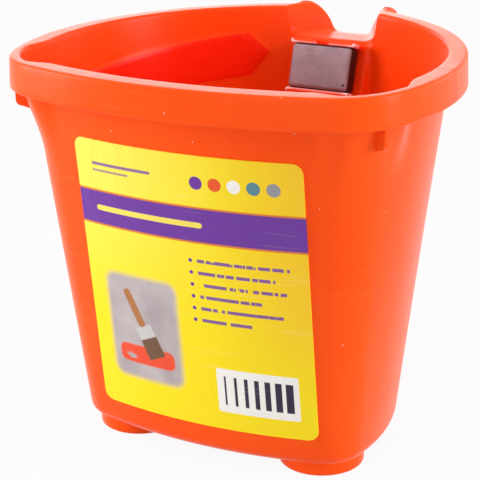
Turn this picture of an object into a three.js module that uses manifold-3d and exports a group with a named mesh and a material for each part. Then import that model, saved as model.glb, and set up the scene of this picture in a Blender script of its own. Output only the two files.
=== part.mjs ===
// A hand-held paint kettle: a D-shaped tub with a hanging rim, two pouring corners, three feet,
// a brush magnet on a raised pad below the rim notch, an open jug handle with a soft grip
// and a printed label. Millimetres, +Z up. The pieces are drawn round the middle of the tub, with
// the label side facing -Y and the handle pointing to +Y, mirrored about X = 0. The finished group
// is then moved along Y so that its origin is on the floor under the middle of the whole kettle.
import * as THREE from 'three';
import { mergeVertices } from 'three/addons/utils/BufferGeometryUtils.js';
import Module from 'manifold-3d';

const wasm = await Module();
wasm.setup();

// Heights
const rimHeight = 140;
const footHeight = 4.5;
const skirtDepth = 11;
const skirtBottom = rimHeight - skirtDepth;

// Wall and shell thicknesses
const wallThickness = 1.8;
const floorThickness = 2.2;
const flangeThickness = 1.8;
const seatGap = 0.3;

// Plan of the rim: one back arc, two side arcs, two corner arcs and one front arc, all tangent
const rimPlan = {
  backY: 27.3, backRadius: 33.6,
  cornerX: 45, cornerY: -46.4, cornerRadius: 29.2,
  sideRadius: 90.4, frontRadius: 181,
};
// How far the wall stands inside the rim edge at the skirt's lower edge
const overhang = { back: 5.8, corner: 7.3, side: 7.4, front: 5.6 };
// Plan of the tub just above its bottom edge
const basePlan = {
  backY: 20.4, backRadius: 21,
  cornerX: 39.7, cornerY: -40.9, cornerRadius: 14.2,
  sideRadius: 75.6, frontRadius: 169.9,
};
const bottomEdgeRadius = 4.5;

// Points on each arc of the plan; the side arcs are finer over the last degrees before the corner
const planSteps = { back: 5, side: 13, nearCorner: 8, corner: 11, front: 16 };
const nearCornerAngle = 22;

// Skirt section
const skirtDraft = 0.4;
const rimEdgeRadius = 1.1;
const skirtChamfer = 0.4;
const innerEdgeRadius = 0.9;

// Pouring corners: the wall flares outwards under the rim
const flareReach = 4;
const flareDrop = { start: 34, end: 6 };
const flareStart = rimHeight - flareDrop.start;
const flareEnd = rimHeight - flareDrop.end;
const flareFrontAngles = [-84, -55];
const flareSideAngles = [2, 14];
const cornerRib = { angle: -31, thickness: 1.5, drop: 7.5, toe: 2.2, edgeInset: 1.2, rise: 3 };

// Feet: two round pads at the front corners and one at the back
const foot = { radius: 15, edge: 1, x: 36.8, frontY: -38.6, backY: 20.5 };

// Magnet and the raised pad that carries it; the magnet's face leans back from the vertical
const magnet = { width: 25, height: 17, thickness: 7, corner: 1, tilt: 18.5, y: 38.3, drop: 19.8 };
const magnetHeight = rimHeight - magnet.drop;
const adhesive = { thickness: 0.8, margin: 2 };
const boss = {
  faceHalf: 15.5, rootHalf: 23, hollowHalf: 15, rootY: 62,
  faceDrop: 33, rootDrop: 51, topRise: 0.6, topSink: 1.5, corner: 2, wall: 2,
};
const lip = { half: 15.3, lowerHalf: 14, depth: 4.4, thickness: 1.5 };
const lipRecess = { radius: 2.5, depth: 1.3 };

// Notch over the magnet: a trough that narrows outwards and runs over on to the handle
const trough = {
  drop: 11.5, innerY: 50, innerReach: 6, innerHalf: 19, lipSink: 0.3, lipRise: 0.6,
  lipHalf: 10.6, filletWidth: 5.7, filletHeight: 8,
  mouthFlare: 6, mouthDepth: 10,
};
const troughFloor = rimHeight - trough.drop;
const ear = {
  half: 21, end: 69, roll: 6.5, corner: 5, sideRoll: 3.6, lowerBy: 1,
  root: 57.5, hollowRoot: 53, linerRoot: 46,
};

// Handle: a hooked channel with a spine rib, open towards the fingers and open at its lower end.
// Its outer face is given by places along Y and their drops below the rim
const handlePath = [
  [53, 11.1], [62, 11.2], [70, 12.8], [79, 18.5], [87, 28], [92.5, 40], [95, 53], [96, 64], [98.5, 75],
];
const handle = {
  rootHalf: 19, gripHalf: 11.5, rootDepth: 12, gripDepth: 8,
  plate: 2.4, flange: 2, spine: 2.4, spineInset: 0.8,
};
// Corner radii of the handle's sections
const handleEdge = { hull: 1.2, inside: 0.8, spine: 0.4, stop: 2.4, sleeve: 3.4 };
// Shares of the handle's length: where it narrows, where the channel starts and where it ends, and how
// far the spine and the sleeve's cutting shapes run past those places
const handleNarrows = [0.12, 0.42];
const channelStart = 0.1;
const handleStop = 0.955;
const spineRun = [0.02, 0.01];
const sleeveRun = 0.03;
const handleStations = 22;
const grip = { start: 0.42, end: 0.945, skin: 2.6, wrap: 2.2, hook: 1 };

// Paper label on the front wall
const label = { width: 84, bottom: 15.5, topDrop: 23.5, centreX: 2, corner: 3.5, thickness: 0.3 };

// Raised plain panel on the left inner wall
const panel = {
  depth: 0.5, direction: 144, halfLength: 40, endDrops: [8.5, 18.6], height: 16.2, corner: 8, centreY: -23.7,
};

// How far a cutting shape runs past the faces it cuts
const past = 4;

const rad = THREE.MathUtils.degToRad;
const lerp = THREE.MathUtils.lerp;
const smooth = (a, b, value) => THREE.MathUtils.smoothstep(value, a, b);

// Angles from 0 to a quarter turn in equal steps
const quarterTurn = (steps) => Array.from({ length: steps + 1 }, (_, i) => (i / steps) * Math.PI / 2);

// Points of an arc, the last one left out so that arcs join end to end
function arcPoints(cx, cy, radius, from, to, steps) {
  return Array.from({ length: steps }, (_, i) => {
    const angle = lerp(from, to, i / steps);
    const nx = Math.cos(angle);
    const ny = Math.sin(angle);
    return { x: cx + radius * nx, y: cy + radius * ny, nx, ny };
  });
}

// The closed D-shaped outline, counter-clockwise from the back, offset outwards by grow
function planOutline(plan, grow = 0) {
  const span = Math.hypot(plan.cornerX, plan.backY - plan.cornerY);
  const toBack = plan.sideRadius - plan.backRadius;
  const toCorner = plan.sideRadius - plan.cornerRadius;
  const along = (toBack ** 2 - toCorner ** 2 + span ** 2) / (2 * span);
  const across = Math.sqrt(toBack ** 2 - along ** 2);
  const ux = plan.cornerX / span;
  const uy = (plan.cornerY - plan.backY) / span;
  const sideX = along * ux + across * uy;
  const sideY = plan.backY + along * uy - across * ux;
  const frontReach = Math.sqrt((plan.frontRadius - plan.cornerRadius) ** 2 - plan.cornerX ** 2);
  const frontY = plan.cornerY + frontReach;

  const backAngle = Math.atan2(plan.backY - sideY, -sideX);
  const sideAngle = Math.atan2(plan.cornerY - sideY, plan.cornerX - sideX);
  const frontAngle = Math.atan2(plan.cornerY - frontY, plan.cornerX);
  const nearAngle = sideAngle + rad(nearCornerAngle);
  const turn = 2 * Math.PI;
  const sideRadius = plan.sideRadius + grow;
  const cornerRadius = plan.cornerRadius + grow;
  const steps = planSteps;
  return [
    ...arcPoints(0, plan.backY, plan.backRadius + grow, backAngle, Math.PI - backAngle, steps.back),
    ...arcPoints(-sideX, sideY, sideRadius, Math.PI - backAngle, Math.PI - nearAngle, steps.side),
    ...arcPoints(-sideX, sideY, sideRadius, Math.PI - nearAngle, Math.PI - sideAngle, steps.nearCorner),
    ...arcPoints(-plan.cornerX, plan.cornerY, cornerRadius,
      Math.PI - sideAngle, Math.PI - frontAngle, steps.corner),
    ...arcPoints(0, frontY, plan.frontRadius + grow, Math.PI - frontAngle, turn + frontAngle, steps.front),
    ...arcPoints(plan.cornerX, plan.cornerY, cornerRadius, turn + frontAngle, turn + sideAngle, steps.corner),
    ...arcPoints(sideX, sideY, sideRadius, turn + sideAngle, turn + nearAngle, steps.nearCorner),
    ...arcPoints(sideX, sideY, sideRadius, turn + nearAngle, turn + backAngle, steps.side),
  ];
}

const wallTopPlan = {
  ...rimPlan,
  backRadius: rimPlan.backRadius - overhang.back,
  cornerRadius: rimPlan.cornerRadius - overhang.corner,
  sideRadius: rimPlan.sideRadius - overhang.side,
  frontRadius: rimPlan.frontRadius - overhang.front,
};

// The wall's plan at a height: a straight taper between the base and the skirt's lower edge
function wallPlan(z) {
  const t = (z - footHeight) / (skirtBottom - footHeight);
  const entries = Object.keys(basePlan).map((key) => [key, lerp(basePlan[key], wallTopPlan[key], t)]);
  return Object.fromEntries(entries);
}

// Share of the corner flare that a point of the outline takes, by its angle about the corner centre
function flareShare(point) {
  const angle = THREE.MathUtils.radToDeg(
    Math.atan2(point.y - rimPlan.cornerY, Math.abs(point.x) - rimPlan.cornerX));
  if (Math.abs(point.x) < rimPlan.cornerX || angle > 90) return 0;
  return smooth(...flareFrontAngles, angle) * (1 - smooth(...flareSideAngles, angle));
}

// One closed ring of the wall surface at a height, offset outwards by grow
function wallRing(z, grow = 0) {
  const flare = flareReach * smooth(flareStart, flareEnd, z);
  return planOutline(wallPlan(z), grow).map((point) => {
    const push = flare * flareShare(point);
    return new THREE.Vector3(point.x + point.nx * push, point.y + point.ny * push, z);
  });
}

// One closed ring of the rim's outline at a height, offset outwards by grow
function rimRing(z, grow) {
  return planOutline(rimPlan, grow).map((point) => new THREE.Vector3(point.x, point.y, z));
}

// A closed solid through a stack of rings that have the same number of points
function loft(rings) {
  const count = rings[0].length;
  const positions = rings.flat().flatMap((p) => [p.x, p.y, p.z]);
  const index = [];
  for (let level = 0; level < rings.length - 1; level += 1) {
    for (let i = 0; i < count; i += 1) {
      const a = level * count + i;
      const b = level * count + ((i + 1) % count);
      index.push(a, b, b + count, a, b + count, a + count);
    }
  }
  const cap = (level, flip) => {
    const ring = rings[level];
    const normal = new THREE.Vector3();
    ring.forEach((p, i) => {
      const q = ring[(i + 1) % count];
      normal.add(new THREE.Vector3().crossVectors(p, q));
    });
    const reference = Math.abs(normal.clone().normalize().x) > 0.9
      ? new THREE.Vector3(0, 1, 0) : new THREE.Vector3(1, 0, 0);
    const u = reference.clone().cross(normal).normalize();
    const v = normal.clone().cross(u).normalize();
    const flat = ring.map((p) => new THREE.Vector2(p.dot(u), p.dot(v)));
    THREE.ShapeUtils.triangulateShape(flat, []).forEach(([a, b, c]) => {
      const offset = level * count;
      index.push(...(flip ? [a, c, b] : [a, b, c]).map((i) => i + offset));
    });
  };
  cap(0, true);
  cap(rings.length - 1, false);
  const geometry = new THREE.BufferGeometry();
  geometry.setAttribute('position', new THREE.Float32BufferAttribute(positions, 3));
  geometry.setIndex(index);
  return solidOf(geometry);
}

// Manifold solid of a three.js geometry, optionally moved by a matrix
function solidOf(source, matrix) {
  const geometry = source.clone();
  geometry.deleteAttribute('normal');
  geometry.deleteAttribute('uv');
  if (matrix) geometry.applyMatrix4(matrix);
  const merged = mergeVertices(geometry, 1e-5);
  const mesh = new wasm.Mesh({
    numProp: 3,
    vertProperties: Float32Array.from(merged.attributes.position.array),
    triVerts: Uint32Array.from(merged.index.array),
  });
  return new wasm.Manifold(mesh);
}

// The three.js geometry of a finished solid
function geometryOf(solid) {
  const mesh = solid.getMesh();
  const geometry = new THREE.BufferGeometry();
  geometry.setAttribute('position', new THREE.BufferAttribute(Float32Array.from(mesh.vertProperties), 3));
  geometry.setIndex(new THREE.BufferAttribute(Uint32Array.from(mesh.triVerts), 1));
  geometry.computeVertexNormals();
  return geometry;
}

// A flat shape extruded square-edged to a depth, with a number of segments on each arc
function plainExtrusion(shape, depth, curveSegments) {
  return new THREE.ExtrudeGeometry(shape, { depth, bevelEnabled: false, curveSegments });
}

// A profile drawn in the YZ plane, extruded over X from -half to +half
function prismAlongX(points, half) {
  const shape = new THREE.Shape(points.map(([y, z]) => new THREE.Vector2(y, z)));
  const geometry = plainExtrusion(shape, 2 * half, 12);
  const basis = new THREE.Matrix4().makeBasis(
    new THREE.Vector3(0, 1, 0), new THREE.Vector3(0, 0, 1), new THREE.Vector3(1, 0, 0));
  basis.setPosition(-half, 0, 0);
  return solidOf(geometry, basis);
}

// A rectangle with rounded corners as a shape
function roundedRectangle(left, bottom, right, top, radius) {
  const shape = new THREE.Shape();
  shape.moveTo(left + radius, bottom);
  shape.lineTo(right - radius, bottom);
  shape.absarc(right - radius, bottom + radius, radius, -Math.PI / 2, 0, false);
  shape.lineTo(right, top - radius);
  shape.absarc(right - radius, top - radius, radius, 0, Math.PI / 2, false);
  shape.lineTo(left + radius, top);
  shape.absarc(left + radius, top - radius, radius, Math.PI / 2, Math.PI, false);
  shape.lineTo(left, bottom + radius);
  shape.absarc(left + radius, bottom + radius, radius, Math.PI, 1.5 * Math.PI, false);
  return shape;
}

// An upright disc standing at a place, with a rounded lower edge
function disc(radius, height, x, y, z, edge) {
  const rounding = quarterTurn(3).map((angle) => (
    [radius - edge * (1 - Math.sin(angle)), edge * (1 - Math.cos(angle))]));
  const profile = [[0, 0], ...rounding, [radius, height], [0, height]];
  const geometry = new THREE.LatheGeometry(profile.map(([r, h]) => new THREE.Vector2(r, h)), 40);
  const upright = new THREE.Matrix4().makeRotationX(Math.PI / 2).setPosition(x, y, z);
  return solidOf(geometry, upright);
}

const flareSteps = 4;
const flareLevels = Array.from(
  { length: flareSteps + 1 }, (_, i) => lerp(flareStart, flareEnd, i / flareSteps));

// Outside of the tub up to the flange, with a rounded bottom edge
function tubOutside() {
  const radius = bottomEdgeRadius;
  const bottomEdge = quarterTurn(3).map((angle) => (
    wallRing(footHeight + radius * (1 - Math.cos(angle)), -radius * (1 - Math.sin(angle)))));
  const wall = [...flareLevels, rimHeight - flangeThickness / 2].map((z) => wallRing(z));
  return loft([...bottomEdge, ...wall]);
}

// Space inside the tub, opening through the flange with a rounded inner edge
function tubInside() {
  const radius = bottomEdgeRadius - wallThickness / 2;
  const floor = footHeight + floorThickness;
  const bottomEdge = quarterTurn(3).map((angle) => (
    wallRing(floor + radius * (1 - Math.cos(angle)), -wallThickness - radius * (1 - Math.sin(angle)))));
  const wall = flareLevels.map((z) => wallRing(z, -wallThickness));
  const edge = [
    wallRing(rimHeight - innerEdgeRadius, -wallThickness),
    wallRing(rimHeight - 0.3 * innerEdgeRadius, -wallThickness + 0.3 * innerEdgeRadius),
    wallRing(rimHeight, -wallThickness + innerEdgeRadius),
    wallRing(rimHeight + past, -wallThickness + innerEdgeRadius),
  ];
  return loft([...bottomEdge, ...wall, ...edge]);
}

// Flange and hanging skirt as a full plate; the inside of the tub is cut out later
function rimOutside() {
  const draftAt = (z) => skirtDraft * (rimHeight - z) / skirtDepth;
  const edge = quarterTurn(2).map((angle) => (
    rimRing(rimHeight - rimEdgeRadius * (1 - Math.sin(angle)), -rimEdgeRadius * (1 - Math.cos(angle)))));
  const low = skirtBottom + skirtChamfer;
  const chamfer = [rimRing(skirtBottom, draftAt(skirtBottom) - skirtChamfer), rimRing(low, draftAt(low))];
  return loft([...chamfer, ...edge]);
}

// Space under the flange, inside the skirt
function rimCavity() {
  const top = rimHeight - flangeThickness;
  return loft([rimRing(skirtBottom - past, -wallThickness + skirtDraft), rimRing(top, -wallThickness)]);
}

// A triangular gusset under the skirt at each pouring corner, with a rounded toe
function cornerRibs() {
  const { angle, thickness, drop, toe, edgeInset, rise } = cornerRib;
  const buried = rimPlan.cornerRadius - overhang.corner - past;
  const outer = rimPlan.cornerRadius - edgeInset;
  const low = skirtBottom - drop;
  const top = rimHeight - flangeThickness / 2;
  const shape = new THREE.Shape();
  shape.moveTo(buried, top);
  shape.lineTo(buried, low - rise);
  shape.lineTo(outer - toe, low);
  shape.absarc(outer - toe, low + toe, toe, -Math.PI / 2, 0, false);
  shape.lineTo(outer, top);
  const geometry = plainExtrusion(shape, thickness, 5);
  return [1, -1].map((side) => {
    const radial = new THREE.Vector3(side * Math.cos(rad(angle)), Math.sin(rad(angle)), 0);
    const up = new THREE.Vector3(0, 0, 1);
    const across = new THREE.Vector3().crossVectors(radial, up);
    const matrix = new THREE.Matrix4().makeBasis(radial, up, across);
    const centre = new THREE.Vector3(side * rimPlan.cornerX, rimPlan.cornerY, 0);
    matrix.setPosition(centre.addScaledVector(across, -thickness / 2));
    return solidOf(geometry, matrix);
  });
}

// The trough as a solid of removed space, grown on all sides by grow
function troughSpace(grow = 0) {
  const { innerY, innerReach, innerHalf, lipHalf, lipSink, lipRise } = trough;
  const { filletWidth, filletHeight, mouthFlare, mouthDepth } = trough;
  const path = handleCurve();
  const mouthY = innerY - innerReach;
  const steps = [0, 2, 4, 6, 8, 11, 16, 21];
  const stations = [...steps.map((step) => mouthY + step), ear.end, ear.end + past];
  return loft(stations.map((y) => {
    const share = THREE.MathUtils.clamp((y - innerY) / (ear.end - innerY), 0, 1);
    const mouth = Math.max(0, (mouthY + mouthDepth - y) / mouthDepth);
    const half = lerp(innerHalf, lipHalf, share) + mouthFlare * mouth ** 2 + grow;
    const onPath = pathHeight(path, y);
    const low = (y > ear.end ? onPath + lipRise : Math.min(troughFloor, onPath - lipSink)) - grow;
    const fillet = quarterTurn(6).map((angle) => (
      [half - filletWidth * (1 - Math.cos(angle)), low + filletHeight * (1 - Math.sin(angle))]));
    const rightSide = [[half + 1, rimHeight + past], ...fillet];
    const leftSide = rightSide.map(([x, z]) => [-x, z]).reverse();
    return [...rightSide, ...leftSide].map(([x, z]) => new THREE.Vector3(x, y, z));
  }));
}

// Centre line of the handle's outer face
function handleCurve() {
  const places = handlePath.map(([y, drop]) => new THREE.Vector3(0, y, rimHeight - drop));
  return new THREE.CatmullRomCurve3(places, false, 'centripetal');
}

// Height of the handle's outer face above a place on the Y axis
function pathHeight(path, y) {
  const points = path.getPoints(200);
  return (points.find((point) => point.y >= y) ?? points[0]).z;
}

// Stations along the handle: place, outward direction, half width and depth of the channel
function handleStationsBetween(from, to, count) {
  const path = handleCurve();
  return Array.from({ length: count }, (_, i) => {
    const s = lerp(from, to, i / (count - 1));
    const place = path.getPointAt(s);
    const tangent = path.getTangentAt(s);
    const outward = new THREE.Vector3(0, -tangent.z, tangent.y);
    const narrowing = smooth(...handleNarrows, s);
    return {
      place,
      outward,
      half: lerp(handle.rootHalf, handle.gripHalf, narrowing),
      depth: lerp(handle.rootDepth, handle.gripDepth, narrowing),
    };
  });
}

// A section swept along the handle; the section gives [across, outward] pairs for a station
function sweepHandle(from, to, count, section) {
  return loft(handleStationsBetween(from, to, count).map((station) => section(station).map(
    ([across, out]) => new THREE.Vector3(across, 0, 0)
      .add(station.place)
      .addScaledVector(station.outward, out))));
}

// A rounded rectangle as [across, outward] pairs, clockwise
function boxSection(half, low, high, radius, steps = 3) {
  const corners = [
    [half - radius, low + radius, -90], [half - radius, high - radius, 0],
    [-half + radius, high - radius, 90], [-half + radius, low + radius, 180],
  ];
  return corners.flatMap(([x, y, start]) => quarterTurn(steps).map((turn) => {
    const angle = rad(start) + turn;
    return [x + radius * Math.cos(angle), y + radius * Math.sin(angle)];
  })).reverse();
}

// Parts of the moulded handle: its hull, the channel cut from it, the spine and the end stop
function handleBody() {
  const hull = sweepHandle(0, 1, handleStations, ({ half, depth }) => (
    boxSection(half, -depth, 0, handleEdge.hull, 2)));
  const channel = sweepHandle(channelStart, handleStop, handleStations, ({ half, depth }) => (
    boxSection(half - handle.flange, -depth - past, -handle.plate, handleEdge.inside, 2)));
  const spineEnds = [channelStart - spineRun[0], handleStop + spineRun[1]];
  const spine = sweepHandle(...spineEnds, handleStations, ({ depth }) => (
    boxSection(handle.spine / 2, -depth + handle.spineInset, -handle.plate / 2, handleEdge.spine, 1)));
  const stop = sweepHandle(handleStop, 1, 4, ({ half, depth }) => (
    boxSection(half + grip.skin, -depth - grip.wrap, grip.skin, handleEdge.stop)));
  return { hull, channel, spine, stop };
}

// Soft sleeve round the outer side and edges of the channel, slotted towards the fingers
function gripBody() {
  const { start, end, skin, wrap, hook } = grip;
  const outer = sweepHandle(start, end, handleStations, ({ half, depth }) => (
    boxSection(half + skin, -depth - wrap, skin, handleEdge.sleeve, 4)));
  const longer = [start - sleeveRun, end + sleeveRun];
  const core = sweepHandle(...longer, handleStations, ({ half, depth }) => (
    boxSection(half + seatGap, -depth - seatGap, seatGap, handleEdge.hull)));
  const slot = sweepHandle(...longer, handleStations, ({ half, depth }) => (
    boxSection(half - handle.flange - hook, -depth - wrap - past, -depth / 2, handleEdge.inside, 2)));
  return outer.subtract(core).subtract(slot);
}

// A prism along Y with a flat top and rounded upper corners
function archAlongY(half, top, radius) {
  const shape = new THREE.Shape();
  shape.moveTo(-half, 0);
  shape.lineTo(half, 0);
  shape.lineTo(half, top - radius);
  shape.absarc(half - radius, top - radius, radius, 0, Math.PI / 2, false);
  shape.lineTo(-half + radius, top);
  shape.absarc(-half + radius, top - radius, radius, Math.PI / 2, Math.PI, false);
  const depth = 2 * ear.end;
  const geometry = plainExtrusion(shape, depth, 5);
  return solidOf(geometry, new THREE.Matrix4().makeRotationX(Math.PI / 2).setPosition(0, depth, 0));
}

// Blocks on each side of the notch where the rim turns outwards to the handle
function earBlock(root, inset = 0) {
  const { half, end, roll, corner, sideRoll, lowerBy } = ear;
  const plan = roundedRectangle(-half + inset, root, half - inset, end - inset, corner);
  const standing = solidOf(plainExtrusion(plan, rimHeight, 6));
  const top = rimHeight - inset;
  const low = troughFloor - lowerBy + 1.4 * inset;
  const round = roll - inset;
  const arc = quarterTurn(7).map((angle) => (
    [end - inset - round * (1 - Math.cos(angle)), top - round * (1 - Math.sin(angle))]));
  const profile = [[root - past, low], [end - inset, low], ...arc, [root - past, top]];
  const rolled = prismAlongX(profile, half + 1).intersect(archAlongY(half - inset, top, sideRoll));
  return standing.intersect(rolled);
}

// Frame of the magnet's face: right, up along the face, and into the wall
function magnetFrame() {
  const tilt = rad(magnet.tilt);
  const up = new THREE.Vector3(0, Math.sin(tilt), Math.cos(tilt));
  const inward = new THREE.Vector3(0, Math.cos(tilt), -Math.sin(tilt));
  const matrix = new THREE.Matrix4().makeBasis(new THREE.Vector3(-1, 0, 0), up, inward);
  return matrix.setPosition(0, magnet.y, magnetHeight);
}

// A block in the magnet's frame: half width, range up the face, range into the wall
function faceBlock(half, up, deep) {
  const geometry = new THREE.BoxGeometry(2 * half, up[1] - up[0], deep[1] - deep[0]);
  geometry.translate(0, (up[0] + up[1]) / 2, (deep[0] + deep[1]) / 2);
  return solidOf(geometry, magnetFrame());
}

const bossDepth = magnet.thickness + adhesive.thickness + 2 * seatGap;

// Tapered block from the magnet's seat to behind the wall; inset gives the hollow moulded behind it
function bossSolid(inset = 0) {
  const slope = Math.tan(rad(magnet.tilt));
  const seat = magnet.y + (bossDepth + inset) / Math.cos(rad(magnet.tilt));
  const faceY = (z) => seat + (z - magnetHeight) * slope;
  const top = troughFloor + boss.topRise - boss.topSink * inset;
  const ring = (half, low, yAt) => boxSection(half, low, top, boss.corner)
    .map(([x, z]) => new THREE.Vector3(x, yAt(z), z));
  const rootHalf = inset > 0 ? boss.hollowHalf : boss.rootHalf;
  return loft([
    ring(boss.faceHalf - inset, rimHeight - boss.faceDrop + inset, faceY),
    ring(rootHalf, rimHeight - boss.rootDrop + inset, () => boss.rootY),
  ]);
}

// Ledges above and below the magnet; the upper one has a half-round finger recess
function magnetPocket() {
  const half = magnet.height / 2;
  const deep = [bossDepth - lip.depth, bossDepth + 1];
  const low = faceBlock(lip.lowerHalf, [-half - seatGap - lip.thickness, -half - seatGap], deep);
  const high = faceBlock(lip.half, [half + seatGap, half + seatGap + lip.thickness], deep);
  const cutter = new THREE.CylinderGeometry(lipRecess.radius, lipRecess.radius, 2 * past, 24);
  cutter.translate(0, half, bossDepth - lip.depth - lipRecess.radius + lipRecess.depth);
  return low.add(high.subtract(solidOf(cutter, magnetFrame())));
}

// Outline of the raised panel seen square on, extruded through the left wall
function panelPrism() {
  const { halfLength, endDrops, height, corner, direction, centreY } = panel;
  const slope = (endDrops[0] - endDrops[1]) / (2 * halfLength);
  const middle = rimHeight - (endDrops[0] + endDrops[1]) / 2;
  const shape = roundedRectangle(-halfLength, -height, halfLength, 0, corner);
  const geometry = plainExtrusion(shape, rimHeight, 5);
  const position = geometry.attributes.position;
  for (let i = 0; i < position.count; i += 1) {
    position.setY(i, position.getY(i) + middle + slope * position.getX(i));
  }
  const outward = new THREE.Vector3(Math.cos(rad(direction)), Math.sin(rad(direction)), 0);
  const up = new THREE.Vector3(0, 0, 1);
  const along = new THREE.Vector3().crossVectors(up, outward);
  const matrix = new THREE.Matrix4().makeBasis(along, up, outward);
  matrix.setPosition(0, centreY, 0);
  return solidOf(geometry, matrix);
}

// A solid as wide as the wall surface offset by grow, over the upper part of the tub
function upperCore(grow, extra = 0) {
  const levels = [flareStart - 6, ...flareLevels, rimHeight];
  return loft([levels[0] - 20 - extra, ...levels, rimHeight + extra].map((z) => wallRing(z, grow)));
}

// The raised panel, sunk halfway into the wall
function panelSkin() {
  const outer = upperCore(-wallThickness / 2);
  return outer.subtract(upperCore(-wallThickness - panel.depth, 1)).intersect(panelPrism());
}

// The three feet, or with an inset the hollows inside them
function feet(inset = 0) {
  const places = [[foot.x, foot.frontY], [-foot.x, foot.frontY], [0, foot.backY]];
  const height = (inset > 0 ? footHeight + floorThickness : footHeight + 1);
  return places.map(([x, y]) => disc(foot.radius - inset, height, x, y, inset, foot.edge));
}

// The whole moulding in one piece: tub, rim, pouring corners, feet, ears, boss, handle and panel
function tubSolid() {
  const { hull, channel, spine, stop } = handleBody();
  let tub = tubOutside().add(rimOutside().subtract(rimCavity()));
  const liner = earBlock(ear.linerRoot).intersect(troughSpace(wallThickness));
  [...cornerRibs(), ...feet(), earBlock(ear.root), hull, stop].forEach((part) => { tub = tub.add(part); });
  const earHollow = earBlock(ear.hollowRoot, wallThickness).subtract(upperCore(0.4));
  tub = tub.subtract(earHollow).add(liner).subtract(tubInside());
  tub = tub.add(bossSolid().intersect(upperCore(-wallThickness / 2))).add(magnetPocket());
  [troughSpace(), bossSolid(boss.wall), channel, ...feet(wallThickness)].forEach((space) => {
    tub = tub.subtract(space);
  });
  return tub.add(spine).add(panelSkin());
}

// The label: a thin skin over the front wall, cut to a rounded rectangle
function labelSolid() {
  const { bottom } = label;
  const top = rimHeight - label.topDrop;
  const levels = [bottom - past, (bottom + top) / 2, flareStart, top + past];
  const outer = loft(levels.map((z) => wallRing(z, seatGap + label.thickness)));
  const inner = loft([bottom - 2 * past, ...levels, top + 2 * past].map((z) => wallRing(z, seatGap)));
  const left = label.centreX - label.width / 2;
  const shape = roundedRectangle(left, bottom, left + label.width, top, label.corner);
  const geometry = plainExtrusion(shape, rimHeight, 6);
  const frontOn = new THREE.Matrix4().makeRotationX(Math.PI / 2);
  return outer.subtract(inner).intersect(solidOf(geometry, frontOn));
}

// A flat block with rounded corners
function block(width, height, depth, corner) {
  const shape = roundedRectangle(-width / 2, -height / 2, width / 2, height / 2, corner);
  return plainExtrusion(shape, depth, 6);
}

const finishes = {
  tub: { color: '#ff4a14', roughness: 0.42, metalness: 0 },
  grip: { color: '#26262a', roughness: 0.75, metalness: 0 },
  magnet: { color: '#8c7d86', roughness: 0.4, metalness: 0.5 },
  adhesive: { color: '#e8e4da', roughness: 0.6, metalness: 0 },
  label: { color: '#f7e01e', roughness: 0.35, metalness: 0 },
};

// A named mesh with its own material
function piece(name, geometry, finish) {
  const mesh = new THREE.Mesh(geometry, new THREE.MeshStandardMaterial(finishes[finish]));
  mesh.name = name;
  return mesh;
}

// The magnet and the adhesive pad behind it, placed together in the magnet's frame
function magnetPieces() {
  const { width, height, thickness, corner } = magnet;
  const margins = 2 * adhesive.margin;
  const bar = piece('brush_magnet', block(width, height, thickness, corner), 'magnet');
  const padBlock = block(width - margins, height - margins, adhesive.thickness, corner);
  const pad = piece('magnet_adhesive', padBlock, 'adhesive');
  pad.position.z = thickness + seatGap;
  const group = new THREE.Group();
  group.name = 'brush_holder';
  group.applyMatrix4(magnetFrame());
  group.add(bar, pad);
  return group;
}

const kettle = new THREE.Group();
kettle.name = 'paint_kettle';
kettle.add(piece('tub', geometryOf(tubSolid()), 'tub'));
kettle.add(piece('handle_grip', geometryOf(gripBody()), 'grip'));
kettle.add(magnetPieces());
kettle.add(piece('front_label', geometryOf(labelSolid()), 'label'));

// Put the origin under the middle of the whole kettle
const extent = new THREE.Box3().setFromObject(kettle);
kettle.position.y = -extent.getCenter(new THREE.Vector3()).y;

export default kettle;
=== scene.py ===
# %% [markdown]
# A hand-held paint kettle, dressed for its portrait.
# The CAD model already says where every piece is and how large it is. This notebook gives the pieces
# the surface of the real ones: a satin orange moulding whose rim, pouring corners and brush notch melt
# into each other, a soft grip on the jug handle, a ground ferrite magnet and a printed film label.
# Lengths are written in millimetres, as on a drawing, and are turned into metres when a mesh is made.
# Materials measure in metres, as Blender does.

# %% Load the frame
import math

import bpy
import numpy as np
from mathutils import Matrix, Vector


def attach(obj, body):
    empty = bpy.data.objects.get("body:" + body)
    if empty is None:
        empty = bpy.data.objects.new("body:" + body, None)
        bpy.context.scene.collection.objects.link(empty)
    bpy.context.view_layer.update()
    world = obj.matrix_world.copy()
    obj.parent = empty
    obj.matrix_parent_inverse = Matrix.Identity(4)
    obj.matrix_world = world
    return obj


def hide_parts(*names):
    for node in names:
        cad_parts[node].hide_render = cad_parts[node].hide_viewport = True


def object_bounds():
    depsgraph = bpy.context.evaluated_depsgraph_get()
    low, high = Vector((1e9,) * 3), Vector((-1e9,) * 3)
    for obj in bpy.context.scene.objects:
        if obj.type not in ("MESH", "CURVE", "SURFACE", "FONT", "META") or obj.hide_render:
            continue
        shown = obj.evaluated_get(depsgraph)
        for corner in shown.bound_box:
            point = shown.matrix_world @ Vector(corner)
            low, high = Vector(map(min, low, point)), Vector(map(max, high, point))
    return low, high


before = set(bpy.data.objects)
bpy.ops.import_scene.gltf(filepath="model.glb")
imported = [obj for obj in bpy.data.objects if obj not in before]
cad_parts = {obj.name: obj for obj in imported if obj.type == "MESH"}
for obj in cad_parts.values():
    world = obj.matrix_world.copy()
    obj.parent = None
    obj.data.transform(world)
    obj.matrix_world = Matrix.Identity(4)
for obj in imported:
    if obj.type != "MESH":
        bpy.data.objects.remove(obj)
cad_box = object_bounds()
MM = 0.001
print("CAD nodes:", sorted(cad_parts))

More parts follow.
